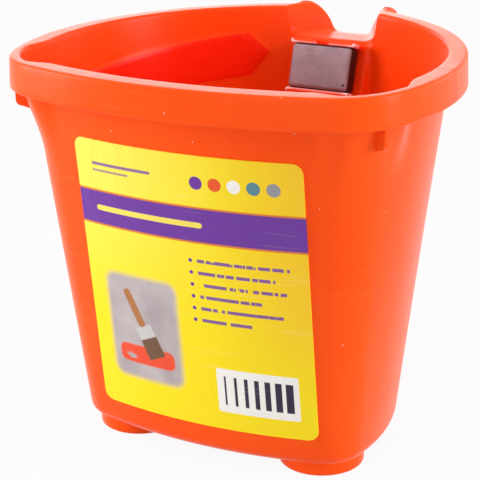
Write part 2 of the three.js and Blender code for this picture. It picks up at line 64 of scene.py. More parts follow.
# %% [markdown]
# The camera stands where the photograph was taken: in front of the label side, to its right and a little
# above the rim. It could be aimed with a Track To constraint, but that can't roll it. So its three axes
# are worked out from azimuth, elevation and roll. A long lens keeps the tub's sides nearly parallel.

# %% Camera
CAMERA_PLACE = Vector((0.2479, -0.5028, 0.2589))
CAMERA_AZIMUTH = 0.48896
CAMERA_ELEVATION = 0.34027
CAMERA_ROLL = -0.01703
CAMERA_LENS, SENSOR_WIDTH = 118.78, 36
back = Vector((math.sin(CAMERA_AZIMUTH) * math.cos(CAMERA_ELEVATION),
               -math.cos(CAMERA_AZIMUTH) * math.cos(CAMERA_ELEVATION), math.sin(CAMERA_ELEVATION)))
level = (-back).cross(Vector((0, 0, 1))).normalized()
upright = level.cross(-back)
right = math.cos(CAMERA_ROLL) * level + math.sin(CAMERA_ROLL) * upright
up = -math.sin(CAMERA_ROLL) * level + math.cos(CAMERA_ROLL) * upright
turn = Matrix((right, up, back)).transposed().to_4x4()
bpy.ops.object.camera_add()
camera = bpy.context.object
camera.name = "portrait_camera"
camera.data.lens = CAMERA_LENS
camera.data.sensor_width = SENSOR_WIDTH
camera.matrix_world = Matrix.Translation(CAMERA_PLACE) @ turn
bpy.context.scene.camera = camera
print("camera at", tuple(round(v, 3) for v in CAMERA_PLACE))

# %% [markdown]
# A white sweep is all that a product picture needs as a background. The world gives an even pale light,
# and shows as pure white where the camera, a reflection or a glass sees it. An image of a studio could
# light the kettle too, but a plain colour is enough and needs no file.

# %% White sweep
scene = bpy.context.scene
scene.view_settings.view_transform = "Standard"
FILL_COLOR, FILL_STRENGTH = (1.0, 0.985, 0.97), 0.46


def background_rays(nodes, links):
    """One for the rays that see the background: the camera's, and those in a reflection or a glass."""
    path = nodes.new("ShaderNodeLightPath")
    seen = path.outputs["Is Camera Ray"]
    for ray in ("Is Glossy Ray", "Is Transmission Ray"):
        either = nodes.new("ShaderNodeMath")
        either.operation = "MAXIMUM"
        links.new(seen, either.inputs[0])
        links.new(path.outputs[ray], either.inputs[1])
        seen = either.outputs[0]
    return seen


world = bpy.data.worlds.new("white_sweep")
scene.world = world
world.use_nodes = True
nodes, links = world.node_tree.nodes, world.node_tree.links
nodes.clear()
seen = nodes.new("ShaderNodeBackground")
seen.inputs["Color"].default_value = (1, 1, 1, 1)
seen.inputs["Strength"].default_value = 1.0
fill = nodes.new("ShaderNodeBackground")
fill.inputs["Color"].default_value = (*FILL_COLOR, 1)
fill.inputs["Strength"].default_value = FILL_STRENGTH
mix = nodes.new("ShaderNodeMixShader")
out = nodes.new("ShaderNodeOutputWorld")
links.new(background_rays(nodes, links), mix.inputs["Fac"])
links.new(fill.outputs[0], mix.inputs[1])
links.new(seen.outputs[0], mix.inputs[2])
links.new(mix.outputs[0], out.inputs["Surface"])
print("world:", world.name, "fill strength", FILL_STRENGTH)

# %% [markdown]
# Six soft boxes stand round the kettle. The two strong ones at the left and the right model the tub's
# sides, the front one lights the label, two weak ones behind reach the ears and the notch, and a weak
# one hangs above. Spots would draw small hard highlights on satin plastic, large lamps draw broad ones.
# The floor is a plain pale disc that takes the kettle's soft shadow.

# %% Soft boxes and floor
MIDDLE = Vector((0.0, -0.01, 0.08))
SOFT_BOXES = (("top_box", (0.05, -0.05, 0.85), (0.7, 0.7), 1.7),
              ("left_box", (-0.95, -0.45, 0.30), (0.5, 0.8), 12.0),
              ("right_box", (0.95, 0.10, 0.28), (0.35, 0.8), 8.0),
              ("front_box", (0.10, -1.20, 0.30), (0.9, 0.5), 2.8),
              ("back_left_box", (-0.70, 0.90, 0.26), (0.9, 0.45), 2.2),
              ("back_right_box", (0.65, 0.85, 0.20), (0.6, 0.38), 1.5))
for name, place, size, watts in SOFT_BOXES:
    bpy.ops.object.light_add(type="AREA", location=place)
    lamp = bpy.context.object
    lamp.name = name
    lamp.rotation_euler = (MIDDLE - Vector(place)).to_track_quat("-Z", "Y").to_euler()
    lamp.data.shape = "RECTANGLE"
    lamp.data.size, lamp.data.size_y = size
    lamp.data.energy = watts

bpy.ops.mesh.primitive_circle_add(vertices=96, radius=6.0, fill_type="NGON")
floor = bpy.context.object
floor.name = "floor"
print("soft boxes:", len(SOFT_BOXES))

# %% [markdown]
# Every material starts the same way, with one Principled shader, so a short helper lays it out. The
# colour and roughness that it is given are the finish's mean, and textures are linked over them later.
# The floor is plain: no grain, no colour of its own. It could glow white and lose the shadow, so it is
# lifted towards white only for the camera, and not all the way.

# %% Material helper and floor
FLOOR_LIFT = 0.93


def new_material(name, color, roughness):
    material = bpy.data.materials.new(name)
    material.use_nodes = True
    shader = material.node_tree.nodes["Principled BSDF"]
    shader.inputs["Base Color"].default_value = (*color, 1)
    shader.inputs["Roughness"].default_value = roughness
    material.diffuse_color = (*color, 1)
    return material, shader


def wear(piece, material):
    """Give a piece one material all over."""
    piece.data.materials.clear()
    piece.data.materials.append(material)


floor_white, shader = new_material("floor_white", (0.60, 0.60, 0.60), 0.9)
shader.inputs["Specular IOR Level"].default_value = 0.0
nodes, links = floor_white.node_tree.nodes, floor_white.node_tree.links
glow = nodes.new("ShaderNodeEmission")
share = nodes.new("ShaderNodeMath")
share.operation = "MULTIPLY"
share.inputs[1].default_value = FLOOR_LIFT
mix = nodes.new("ShaderNodeMixShader")
links.new(background_rays(nodes, links), share.inputs[0])
links.new(share.outputs[0], mix.inputs["Fac"])
links.new(shader.outputs[0], mix.inputs[1])
links.new(glow.outputs[0], mix.inputs[2])
links.new(mix.outputs[0], nodes["Material Output"].inputs["Surface"])
wear(floor, floor_white)
print("floor lifted by:", FLOOR_LIFT)

# %% [markdown]
# The real tub is D-shaped. Its rim and wall are drawn in plan as one back arc, two side arcs, two tight
# corner arcs and one long front arc, each tangent to the next. A curve object could follow them, but
# arcs written as a formula stay tangent when a radius changes.

# %% Plan of the tub
RIM_TOP = 140.0
SKIRT_BOTTOM = 129.0
FOOT_HEIGHT = 4.5
WALL = 1.8
FLOOR = 2.2
FLANGE = 1.8
CORNER_X, CORNER_Y = 45.0, -46.4
RIM_PLAN = {"back_y": 27.3, "back_r": 33.6, "corner_x": CORNER_X, "corner_y": CORNER_Y, "corner_r": 29.2,
            "side_r": 90.4, "front_r": 181.0}
WALL_TOP_PLAN = dict(RIM_PLAN, back_r=27.8, corner_r=21.9, side_r=83.0, front_r=175.4)
BASE_PLAN = {"back_y": 20.4, "back_r": 21.0, "corner_x": 39.7, "corner_y": -40.9, "corner_r": 14.2,
             "side_r": 75.6, "front_r": 169.9}


def plan_arcs(plan):
    """Centre, radius and end angles of the arcs of the right half, from the back to the front."""
    span = math.hypot(plan["corner_x"], plan["back_y"] - plan["corner_y"])
    to_back = plan["side_r"] - plan["back_r"]
    to_corner = plan["side_r"] - plan["corner_r"]
    along = (to_back ** 2 - to_corner ** 2 + span ** 2) / (2 * span)
    across = math.sqrt(to_back ** 2 - along ** 2)
    ux = plan["corner_x"] / span
    uy = (plan["corner_y"] - plan["back_y"]) / span
    side_x = along * ux + across * uy
    side_y = plan["back_y"] + along * uy - across * ux
    front_y = plan["corner_y"] + math.sqrt((plan["front_r"] - plan["corner_r"]) ** 2 - plan["corner_x"] ** 2)
    back_angle = math.atan2(plan["back_y"] - side_y, -side_x)
    side_angle = math.atan2(plan["corner_y"] - side_y, plan["corner_x"] - side_x)
    front_angle = math.atan2(plan["corner_y"] - front_y, plan["corner_x"])
    return [
        (0.0, plan["back_y"], plan["back_r"], math.pi / 2, back_angle),
        (side_x, side_y, plan["side_r"], back_angle, side_angle),
        (plan["corner_x"], plan["corner_y"], plan["corner_r"], side_angle, front_angle),
        (0.0, front_y, plan["front_r"], front_angle, -math.pi / 2),
    ]


print("radii of the rim's four arcs, mm:", [arc[2] for arc in plan_arcs(RIM_PLAN)])

# %% [markdown]
# A station is a place along that outline. Stations at equal distances would be simpler, but they stand
# close together near the magnet's pad, where the surface turns quickly, and wider apart along the plain
# sides. Every ring of the moulding has the same stations, so rings can simply be stacked.

# %% Stations
def lerp(a, b, t):
    return a + (b - a) * t


def places_on(arc, start, end, count):
    return [(arc, lerp(start, end, i / count)) for i in range(count)]


HALF_STATIONS = (places_on(0, 0, 1, 14) + places_on(1, 0, 0.045, 10) + places_on(1, 0.045, 0.13, 34)
                 + places_on(1, 0.13, 0.3, 16) + places_on(1, 0.3, 1, 76)
                 + places_on(2, 0, 1, 30) + places_on(3, 0, 1, 28) + [(3, 1.0)])


def outline(plan, grow=0.0):
    """The closed outline as arrays x, y and outward normal, offset outwards by grow."""
    arcs = plan_arcs(plan)
    half = []
    for arc, share in HALF_STATIONS:
        cx, cy, radius, start, end = arcs[arc]
        angle = lerp(start, end, share)
        nx, ny = math.cos(angle), math.sin(angle)
        half.append((cx + (radius + grow) * nx, cy + (radius + grow) * ny, nx, ny))
    mirrored = [(-x, y, -nx, ny) for x, y, nx, ny in half[-2:0:-1]]
    return np.array(half + mirrored).T


print("stations round the tub:", outline(RIM_PLAN).shape[1])

# %% [markdown]
# A ring is the outline at one height. The rim keeps its outline, the wall widens evenly from the bottom
# to the top, and under the rim it swings outwards at the two pouring corners. That could be pulled out
# by hand with proportional editing; a push along the outline's normal does it twice alike.

# %% Rings of the tub
POUR_PUSH, POUR_HEIGHTS, POUR_START, POUR_END = 4.0, (106, 134), (-84, -55), (-8, 18)


def smooth(low, high, value):
    t = np.clip((value - low) / (high - low), 0.0, 1.0)
    return t * t * (3.0 - 2.0 * t)


def ring(x, y, z):
    return np.stack([x, y, np.broadcast_to(z, x.shape)], axis=1)


def rim_ring(z, grow):
    x, y, _, _ = outline(RIM_PLAN, grow)
    return ring(x, y, z)


def wall_ring(z, grow=0.0):
    """The wall's outline at a height; it swings outwards under the rim at the two pouring corners."""
    t = (z - FOOT_HEIGHT) / (SKIRT_BOTTOM - FOOT_HEIGHT)
    plan = {key: lerp(BASE_PLAN[key], WALL_TOP_PLAN[key], t) for key in BASE_PLAN}
    x, y, nx, ny = outline(plan, grow)
    angle = np.degrees(np.arctan2(y - CORNER_Y, np.abs(x) - CORNER_X))
    at_corner = (np.abs(x) >= CORNER_X) & (angle <= 90)
    push = POUR_PUSH * smooth(*POUR_HEIGHTS, z) * smooth(*POUR_START, angle)
    push = push * (1 - smooth(*POUR_END, angle)) * at_corner
    return ring(x + nx * push, y + ny * push, z)


print("wall's half width at the bottom and at the skirt, mm:",
      [round(float(wall_ring(z)[:, 0].max()), 1) for z in (FOOT_HEIGHT, SKIRT_BOTTOM)])

# %% [markdown]
# The drawing is centred on the tub, but the frame is centred on the whole kettle, handle included. The
# front of the skirt is the foremost point of both, so it tells how far the drawing has to be shifted.
# The dressed kettle has to stay inside the CAD's box, so it is drawn a hair smaller at the skirt.

# %% Shift from the drawing to the frame
SKIRT_DRAFT, INSIDE_THE_BOX = 0.36, 0.025
SHIFT_Y = cad_box[0][1] / MM - rim_ring(0.0, SKIRT_DRAFT + INSIDE_THE_BOX)[:, 1].min()
print("shift along Y, mm:", round(SHIFT_Y, 3))

# %% [markdown]
# A moulding without a single flat face can't be cut from a cube. It is laid like a net: a grid primitive
# gets one column for each station and one row for each ring, its vertices are put on the drawing, the
# seam is merged and the ends are filled. The same net makes the handle, the feet and every cutter.

# %% Net helper
def deselect_all():
    if bpy.context.object and bpy.context.object.mode != "OBJECT":
        bpy.ops.object.mode_set(mode="OBJECT")
    bpy.ops.object.select_all(action="DESELECT")


def net(name, rows):
    """A closed piece through a stack of closed rings of points, in millimetres on the drawing."""
    rows = np.asarray(rows, float)
    rows = np.concatenate([rows, rows[:, :1]], axis=1)
    count, around = rows.shape[:2]
    deselect_all()
    bpy.ops.mesh.primitive_grid_add(x_subdivisions=around - 1, y_subdivisions=count - 1, size=1)
    piece = bpy.context.object
    piece.name = name
    points = (rows + np.array([0.0, SHIFT_Y, 0.0])) * MM
    piece.data.vertices.foreach_set("co", points.reshape(-1))
    bpy.ops.object.mode_set(mode="EDIT")
    bpy.ops.mesh.select_all(action="SELECT")
    bpy.ops.mesh.remove_doubles(threshold=1e-6)
    bpy.ops.mesh.fill_holes(sides=0)
    bpy.ops.mesh.select_all(action="SELECT")
    bpy.ops.mesh.normals_make_consistent(inside=False)
    bpy.ops.object.mode_set(mode="OBJECT")
    return piece


print("helper ready: net")

# %% [markdown]
# What is moulded in one with the tub is joined to it, and what a core keeps free in the mould is cut
# away. Bridged faces could join two nets, but a boolean modifier needs no matching points. It is applied
# at once, so that the next cut works on plain mesh.

# %% Join and cut
def combine(piece, tool, operation):
    """Join a tool to a piece, or cut it away, and let go of the tool."""
    deselect_all()
    piece.select_set(True)
    bpy.context.view_layer.objects.active = piece
    modifier = piece.modifiers.new("combine", "BOOLEAN")
    modifier.operation = operation
    modifier.solver = "MANIFOLD"
    modifier.object = tool
    bpy.ops.object.modifier_apply(modifier=modifier.name)
    bpy.data.objects.remove(tool)


print("helper ready: combine")

# %% [markdown]
# The magnet sits on a pad that grows out of the back wall. On the drawing the pad is a leaning face, two
# tapering sides and a sloping underside. It could be a block joined by a boolean, but its edges would
# stay sharp. Here the wall's own vertices move inwards where the pad stands further in than the wall,
# and a soft minimum blends the two, as a mould maker's fillets do.

# %% Wall with the magnet's pad
MAGNET_Y, MAGNET_Z, LEAN = 38.3, 120.2, math.radians(18.5)
SEAT_DEPTH = 8.4
PAD_HALF, PAD_ROOT_HALF, PAD_ROOT_Y, PAD_BOTTOM, PAD_ROOT_BOTTOM = 15.5, 23.0, 62.0, 107.0, 89.0
BACK_FROM, BACK_HALF, CEILING_FADE = 20, 30, 2


def soft_min(a, b, blend):
    h = np.clip(0.5 + 0.5 * (b - a) / blend, 0.0, 1.0)
    return lerp(b, a, h) - blend * h * (1.0 - h)


def soft_max(a, b, blend):
    return -soft_min(-a, -b, blend)


def pad_front(x, z, inset=0.0, half=PAD_HALF, root_half=PAD_ROOT_HALF, blend=2.2):
    """How far forward the pad reaches, as a place along Y, for points of the back wall."""
    face = MAGNET_Y + (SEAT_DEPTH + inset) / math.cos(LEAN) + (z - MAGNET_Z) * math.tan(LEAN)
    side = face + (np.abs(x) - half) / (root_half - half) * (PAD_ROOT_Y - face)
    low = MAGNET_Y + (SEAT_DEPTH + inset) / math.cos(LEAN) + (PAD_BOTTOM - MAGNET_Z) * math.tan(LEAN)
    under = low + (PAD_BOTTOM + inset - z) * (PAD_ROOT_Y - low) / (PAD_BOTTOM - PAD_ROOT_BOTTOM)
    return soft_max(soft_max(face, side, blend), under, blend)


def with_pad(points, blend=2.4, ceiling=None, **sizes):
    x, y, z = points.T
    at_back = (y > BACK_FROM) & (np.abs(x) < BACK_HALF)
    moved = soft_min(y, pad_front(x, z, **sizes), blend)
    if ceiling:
        moved = lerp(moved, y, smooth(ceiling - CEILING_FADE, ceiling, z))
    return np.stack([x, np.where(at_back, moved, y), z], axis=1)


print("pad's face at the magnet's middle, Y mm:", round(float(pad_front(0.0, MAGNET_Z)), 2))

# %% [markdown]
# A plain raised panel stands half a millimetre proud of the left inner wall: a long band that falls
# towards the label side, with pointed ends. A panel cut from flat stock wouldn't follow the bend of the
# wall, so the wall's points are moved inwards along their own radius. The panel is drawn on a plane that
# looks at that wall square on.

# %% Panel on the inner wall
PANEL_DIRECTION = math.radians(144)
PANEL_TIP, PANEL_POINT, PANEL_HEIGHT, PANEL_DEPTH = 41.4, 0.9, 16.2, 0.5
PANEL_MIDDLE, PANEL_SLOPE = 118.6, -0.1
PANEL_ROUNDING, PANEL_EDGE = 1.5, 0.6
CENTRE_Y = -23.7


def with_panel(points):
    x, y, z = points.T
    along = -math.sin(PANEL_DIRECTION) * x + math.cos(PANEL_DIRECTION) * (y - CENTRE_Y)
    facing = x * math.cos(PANEL_DIRECTION) + (y - CENTRE_Y) * math.sin(PANEL_DIRECTION) > 0
    across = np.abs(z - (PANEL_MIDDLE + PANEL_SLOPE * along))
    past_end = (np.abs(along) + PANEL_POINT * across - PANEL_TIP) / math.hypot(1, PANEL_POINT)
    outside = soft_max(across - PANEL_HEIGHT / 2, past_end, PANEL_ROUNDING)
    rise = PANEL_DEPTH * (1 - smooth(-PANEL_EDGE, PANEL_EDGE, outside)) * facing
    length = np.hypot(x, y - CENTRE_Y)
    return np.stack([x - x / length * rise, y - (y - CENTRE_Y) / length * rise, z], axis=1)


print("panel, mm: length", 2 * PANEL_TIP, "height", PANEL_HEIGHT)

# %% [markdown]
# Now the tub itself. A solid could be hollowed with Solidify, but the wall, the flange and the skirt each
# have their own thickness. So the rings are laid one by one, starting at the edge of the inner floor and
# going up the inner wall to the rim. Small radii follow every edge, because a moulding has no sharp
# ones, and a highlight along a rounded edge is what makes plastic look like plastic.

# %% Inner wall
QUARTER = np.linspace(0, math.pi / 2, 7)
INNER_FLOOR, INNER_RADIUS, EDGE = FOOT_HEIGHT + FLOOR, 3.6, 0.9
PLAIN_HEIGHTS, FLARED_HEIGHTS = [16.0, 28.0, 40.0, 52.0, 64.0, 74.0, 82.0], list(np.arange(88.0, 139.0, 1.0))
rows = []
for a in QUARTER:
    rows.append(wall_ring(INNER_FLOOR + INNER_RADIUS * (1 - math.cos(a)),
                          -WALL - INNER_RADIUS * (1 - math.sin(a))))
for z in PLAIN_HEIGHTS + FLARED_HEIGHTS + [RIM_TOP - EDGE]:
    rows.append(with_panel(with_pad(wall_ring(z, -WALL))))
for a in QUARTER[2::2]:
    rows.append(with_pad(wall_ring(RIM_TOP - EDGE * (1 - math.sin(a)), -WALL + EDGE * (1 - math.cos(a)))))
print("rings up to the rim:", len(rows))

# %% [markdown]
# The flange runs flat from the wall to the rim's outer edge, and the skirt hangs down from there. It
# leans outwards by about a third of a millimetre, so that it slips out of the mould, and ends in a
# round lip.

# %% Flange and skirt
RIM_EDGE, LIP = 1.1, 0.55
SKIRT_DEPTH = RIM_TOP - SKIRT_BOTTOM
inner_edge, outer_edge = rows[-1], rim_ring(RIM_TOP, -RIM_EDGE)
for t in np.linspace(0, 1, 8)[1:]:
    rows.append(lerp(inner_edge, outer_edge, t))
for a in QUARTER[::-1][1:]:
    rows.append(rim_ring(RIM_TOP - RIM_EDGE * (1 - math.sin(a)), -RIM_EDGE * (1 - math.cos(a))))
for z in (136.0, 133.0, 131.0):
    rows.append(rim_ring(z, SKIRT_DRAFT * (RIM_TOP - z) / SKIRT_DEPTH))
for a in np.linspace(0, math.pi, 7):
    rows.append(rim_ring(SKIRT_BOTTOM + LIP * (1 - math.sin(a)), SKIRT_DRAFT - LIP + LIP * math.cos(a)))
print("rings down to the skirt's lip:", len(rows))

# %% [markdown]
# Behind the skirt the surface goes up again, turns under the flange and runs down the outer wall. Behind
# the magnet's pad the wall is hollow from outside, as a moulder keeps it, so that the plastic is as thin
# there as elsewhere and doesn't sink when it cools.

# %% Outer wall
UNDER_FLANGE, CHAMFER, BOTTOM_RADIUS = RIM_TOP - FLANGE, 0.6, 4.5
INNER_DRAFT = SKIRT_DRAFT * 0.6
HOLLOW = {"ceiling": 126.0, "inset": 2.0, "half": 12.5, "root_half": 14.5, "blend": 1.2}
OUTER_HEIGHTS = [UNDER_FLANGE - CHAMFER] + list(np.arange(136.0, 87.0, -1.5)) + [80.0, 60.0, 40.0, 24.0]
for z in (131.0, 135.0, UNDER_FLANGE - CHAMFER):
    rows.append(rim_ring(z, -WALL + INNER_DRAFT))
under_out, under_in = rim_ring(UNDER_FLANGE, -WALL - CHAMFER), wall_ring(UNDER_FLANGE, CHAMFER)
for t in (0.0, 0.5, 1.0):
    rows.append(lerp(under_out, under_in, t))
for z in OUTER_HEIGHTS:
    rows.append(with_pad(wall_ring(z), **HOLLOW))
for a in QUARTER[::-1]:
    rows.append(wall_ring(FOOT_HEIGHT + BOTTOM_RADIUS * (1 - math.cos(a)),
                          -BOTTOM_RADIUS * (1 - math.sin(a))))
tub_body = net("tub_body", rows)
print("tub shell: rings", len(rows), "faces", len(tub_body.data.polygons))

# %% [markdown]
# The handle is a hooked channel. Its outer face follows one smooth curve through nine places, the same
# curve as on the drawing. A Bezier curve would need its handles drawn by eye. A Catmull-Rom spline needs
# only the places, and it keeps loops out by spacing its knots by the square root of the distance.

# %% Handle curve
HANDLE_PLACES = np.array([(53, 128.9), (62, 128.8), (70, 127.2), (79, 121.5), (87, 112), (92.5, 100),
                          (95, 87), (96, 76), (98.5, 65)])


def spline_points(places, steps=60):
    first = 2 * places[0] - places[1]
    last = 2 * places[-1] - places[-2]
    knots = np.vstack([first, places, last])
    points = []
    for a, b, c, d in zip(knots, knots[1:], knots[2:], knots[3:]):
        ab, bc, cd = (math.sqrt(np.linalg.norm(q - p)) for p, q in ((a, b), (b, c), (c, d)))
        start = ((b - a) / ab - (c - a) / (ab + bc) + (c - b) / bc) * bc
        end = ((c - b) / bc - (d - b) / (bc + cd) + (d - c) / cd) * bc
        for t in np.arange(steps) / steps:
            points.append(b + start * t + (-3 * b + 3 * c - 2 * start - end) * t ** 2
                          + (2 * b - 2 * c + start + end) * t ** 3)
    return np.array(points + [places[-1]])


CURVE = spline_points(HANDLE_PLACES)
RUN = np.concatenate([[0], np.cumsum(np.linalg.norm(np.diff(CURVE, axis=0), axis=1))])
HANDLE_LENGTH = RUN[-1]
CHORD = 0.8


def on_handle(share):
    """Place on the outer face and outward direction, both as (Y, Z), at a share of the length."""
    at = share * HANDLE_LENGTH
    place = np.array([np.interp(at, RUN, CURVE[:, 0]), np.interp(at, RUN, CURVE[:, 1])])
    near, far = at - CHORD / 2, at + CHORD / 2
    run = np.array([np.interp(far, RUN, CURVE[:, i]) - np.interp(near, RUN, CURVE[:, i]) for i in (0, 1)])
    run /= np.linalg.norm(run)
    return place, np.array([-run[1], run[0]])


print("handle length, mm:", round(HANDLE_LENGTH, 1))

# %% [markdown]
# What follows the handle is one section, a rectangle with round corners, carried along the curve. The
# handle is broad at the tub and slimmer where the hand closes round it, so the section changes on the
# way, which a curve's bevel object can't do for the width and the depth apart.

# %% Sweep helper
HANDLE_HALF, HANDLE_DEPTH, NARROWING = (19.0, 11.5), (12.0, 8.0), (0.12, 0.42)


def rounded_box(half, low, high, radius, steps=6):
    """A rounded rectangle as (across, outward) pairs, all the way round."""
    pairs = []
    for cx, cy, start in ((half - radius, low + radius, -90), (half - radius, high - radius, 0),
                          (-half + radius, high - radius, 90), (-half + radius, low + radius, 180)):
        for a in np.radians(start) + np.linspace(0, math.pi / 2, steps):
            pairs.append((cx + radius * math.cos(a), cy + radius * math.sin(a)))
    return pairs


def sweep(name, start, end, count, section, lead_in=0.0):
    """A section carried along the handle; lead_in starts it that much nearer to the tub."""
    rows = []
    for share in np.linspace(start, end, count):
        place, outward = on_handle(share)
        narrowing = float(smooth(*NARROWING, share))
        half, depth = lerp(*HANDLE_HALF, narrowing), lerp(*HANDLE_DEPTH, narrowing)
        rows.append([(across, place[0] + outward[0] * out, place[1] + outward[1] * out)
                     for across, out in section(half, depth, share)])
    if lead_in:
        rows.insert(0, [(x, y - lead_in, z) for x, y, z in rows[0]])
    return net(name, rows)


print("handle's width at the tub and in the hand, mm:", [2 * half for half in HANDLE_HALF])

# %% [markdown]
# The handle's parts are swept along that curve: the hull, the channel that is cut out of it on the side
# of the fingers, the reinforcing spine inside the channel and the wider stop below the soft sleeve. One
# section with all of them would be quicker, but the channel and the spine start and end at other places
# than the hull does.

# %% Handle moulding
CHANNEL_START, STOP_START = 0.1, 0.955
HANDLE_SIDE, HANDLE_TOP, SPINE_HALF, SPINE_SETBACK = 2.0, 2.4, 1.2, 0.8
GRIP_SKIN, GRIP_WRAP, STOP_DRAWN_IN = 2.6, 2.2, 0.9


def stop_section(half, depth, share):
    """A rounded box as wide as the sleeve, drawn in a little at both ends of the stop."""
    t = (share - STOP_START) / (1 - STOP_START)
    drawn_in = STOP_DRAWN_IN * (1 - math.sqrt(math.sin(math.pi * min(max(t, 0.03), 0.97))))
    return rounded_box(half + GRIP_SKIN - drawn_in, -depth - GRIP_WRAP + drawn_in,
                       GRIP_SKIN - drawn_in, 2.4)


handle = sweep("handle", 0, 1, 90, lambda half, depth, s: rounded_box(half, -depth, 0, 1.2), lead_in=10.0)
channel = sweep("channel", CHANNEL_START, STOP_START, 80,
                lambda half, depth, s: rounded_box(half - HANDLE_SIDE, -depth - 4, -HANDLE_TOP, 0.8))
combine(handle, channel, "DIFFERENCE")
spine = sweep("spine", CHANNEL_START - 0.02, STOP_START + 0.01, 70,
              lambda half, depth, s: rounded_box(SPINE_HALF, -depth + SPINE_SETBACK, -SPINE_HALF, 0.4, 4))
combine(handle, spine, "UNION")
stop = sweep("stop", STOP_START, 1, 14, stop_section)
combine(handle, stop, "UNION")
inner_rows = [wall_ring(z, -0.9) for z in (80.0, 100.0, 106.0, 113.0, 120.0, 127.0, 134.0, 150.0)]
combine(handle, net("tub_space", inner_rows), "DIFFERENCE")
combine(tub_body, handle, "UNION")
print("with handle, faces:", len(tub_body.data.polygons))

# %% [markdown]
# Beside the notch the rim turns outwards in two ears. They could be modelled one by one and mirrored,
# but they share their outline and the notch divides them. So they start as one arch across the back,
# rolled over at its end and at its sides, and the notch is cut through it afterwards.

# %% Ears
EAR_HALF, EAR_END, EAR_ROLL, EAR_CORNER, EAR_LOW = 21.0, 69.0, 6.5, 5.0, 127.5
EAR_SIDE_ROLL = 3.6
ROLL_START = EAR_END - EAR_ROLL
ear_places = [51.0, 56.0, 60.0, ROLL_START]
ear_places += [ROLL_START + EAR_ROLL * math.sin(a) for a in np.linspace(0.12, math.pi / 2, 16)]
rows = []
for y in ear_places:
    past_corner = max(0.0, y - (EAR_END - EAR_CORNER))
    half = EAR_HALF - EAR_CORNER + math.sqrt(max(0.0, EAR_CORNER ** 2 - past_corner ** 2))
    top = RIM_TOP - EAR_ROLL + math.sqrt(max(0.0, EAR_ROLL ** 2 - max(0.0, y - ROLL_START) ** 2))
    roll = min(EAR_SIDE_ROLL, 0.9 * (top - EAR_LOW))
    over = [(half - roll * (1 - math.cos(a)), top - roll * (1 - math.sin(a)))
            for a in np.linspace(0, math.pi / 2, 10)]
    right_side = [(half - 0.5, EAR_LOW), (half, EAR_LOW + 0.5)] + over
    rows.append([(x, y, z) for x, z in right_side] + [(-x, y, z) for x, z in right_side[::-1]])
ears = net("ears", rows)
rows = [wall_ring(z, -0.9) for z in (110.0, 120.0, 127.0, 134.0, 150.0)]
combine(ears, net("tub_space", rows), "DIFFERENCE")
combine(tub_body, ears, "UNION")
print("with ears, faces:", len(tub_body.data.polygons))

# %% [markdown]
# The notch pours like a jug's lip. A box cut with bevelled edges would have one radius all along. The
# real notch has a floor, a fillet, a steep side and a rounded crown that change on the way out, so it is
# cut with a solid that is lofted from one section after another. The sections narrow outwards. At the
# mouth the sides follow the inner wall, and where two surfaces meet at such a grazing angle, no edge
# can be seen.

# %% Section of the notch
NOTCH_FLOOR, SIDE_LEVEL, NOTCH_START, NOTCH_LENGTH = 128.5, 134.0, 50, 19
STEEPNESS, FILLET, CROWN, ROOM_FOR_BOTH = (79, 66), (5.0, 3.4), (1.6, 5.0), 9.0
MOUTH_HALF, MOUTH_Y, TAPER, BESIDE_WALL, MOUTH_BLEND = 17.0, 52, 0.4, 1.2, 1.6
BELOW_HANDLE, RUN_OUT, RUN_OUT_RANGE, ABOVE_EAR = 0.3, 1.7, (67.5, 77), 0.06
BACK_OF_TUB, RIGHT_OF_MIDDLE, PAST_CROWN = 10, 3, ((1.0, 0.15), (3.0, 0.6))
wall_line = wall_ring(SIDE_LEVEL, -WALL)
wall_line = wall_line[wall_line[:, 1] > BACK_OF_TUB]
wall_line = wall_line[np.argsort(wall_line[:, 0])]
right_line = wall_line[wall_line[:, 0] > RIGHT_OF_MIDDLE][::-1]


def handle_height(y):
    return np.interp(y, CURVE[:, 0], CURVE[:, 1])


def ear_top(y):
    past = min(max(0.0, y - ROLL_START), EAR_ROLL - 0.05)
    return RIM_TOP - EAR_ROLL + math.sqrt(EAR_ROLL ** 2 - past ** 2)


def notch_section(y):
    """Half of the notch's section at a place along Y: across, height and share of the rise."""
    t = min(max((y - NOTCH_START) / NOTCH_LENGTH, 0.0), 1.0)
    low = min(NOTCH_FLOOR, handle_height(y) - BELOW_HANDLE + RUN_OUT * float(smooth(*RUN_OUT_RANGE, y)))
    steep = math.radians(lerp(*STEEPNESS, t))
    bend = 1 - math.cos(steep)
    rise = ear_top(y) + ABOVE_EAR - low
    fit = min(1.0, 0.97 * rise / (ROOM_FOR_BOTH * bend))
    fillet, crown = fit * lerp(*FILLET, t), fit * lerp(*CROWN, t)
    beside_wall = np.interp(y, right_line[:, 1], right_line[:, 0]) - BESIDE_WALL
    side = float(soft_max(MOUTH_HALF - TAPER * (y - MOUTH_Y), beside_wall, MOUTH_BLEND))
    straight = rise - (fillet + crown) * bend
    foot = side - fillet * math.sin(steep) - (SIDE_LEVEL - low - fillet * bend) / math.tan(steep)
    points = [(foot * i / 12, 0.0) for i in range(12)]
    points += [(foot + fillet * math.sin(a), fillet * (1 - math.cos(a))) for a in np.linspace(0, steep, 12)]
    x, z = points[-1]
    points += [(x + straight * i / 6 / math.tan(steep), z + straight * i / 6) for i in range(1, 6)]
    x += straight / math.tan(steep) + crown * math.sin(steep)
    points += [(x - crown * math.sin(a), rise - crown * (1 - math.cos(a))) for a in np.linspace(steep, 0, 12)]
    points += [(x + aside, rise + above) for aside, above in PAST_CROWN]
    across, height = np.array(points).T
    return across, low + height, np.clip(height / rise, 0, 1)


print("notch, half its width at the mouth, mm:", round(float(notch_section(MOUTH_Y)[0][-3]), 1))

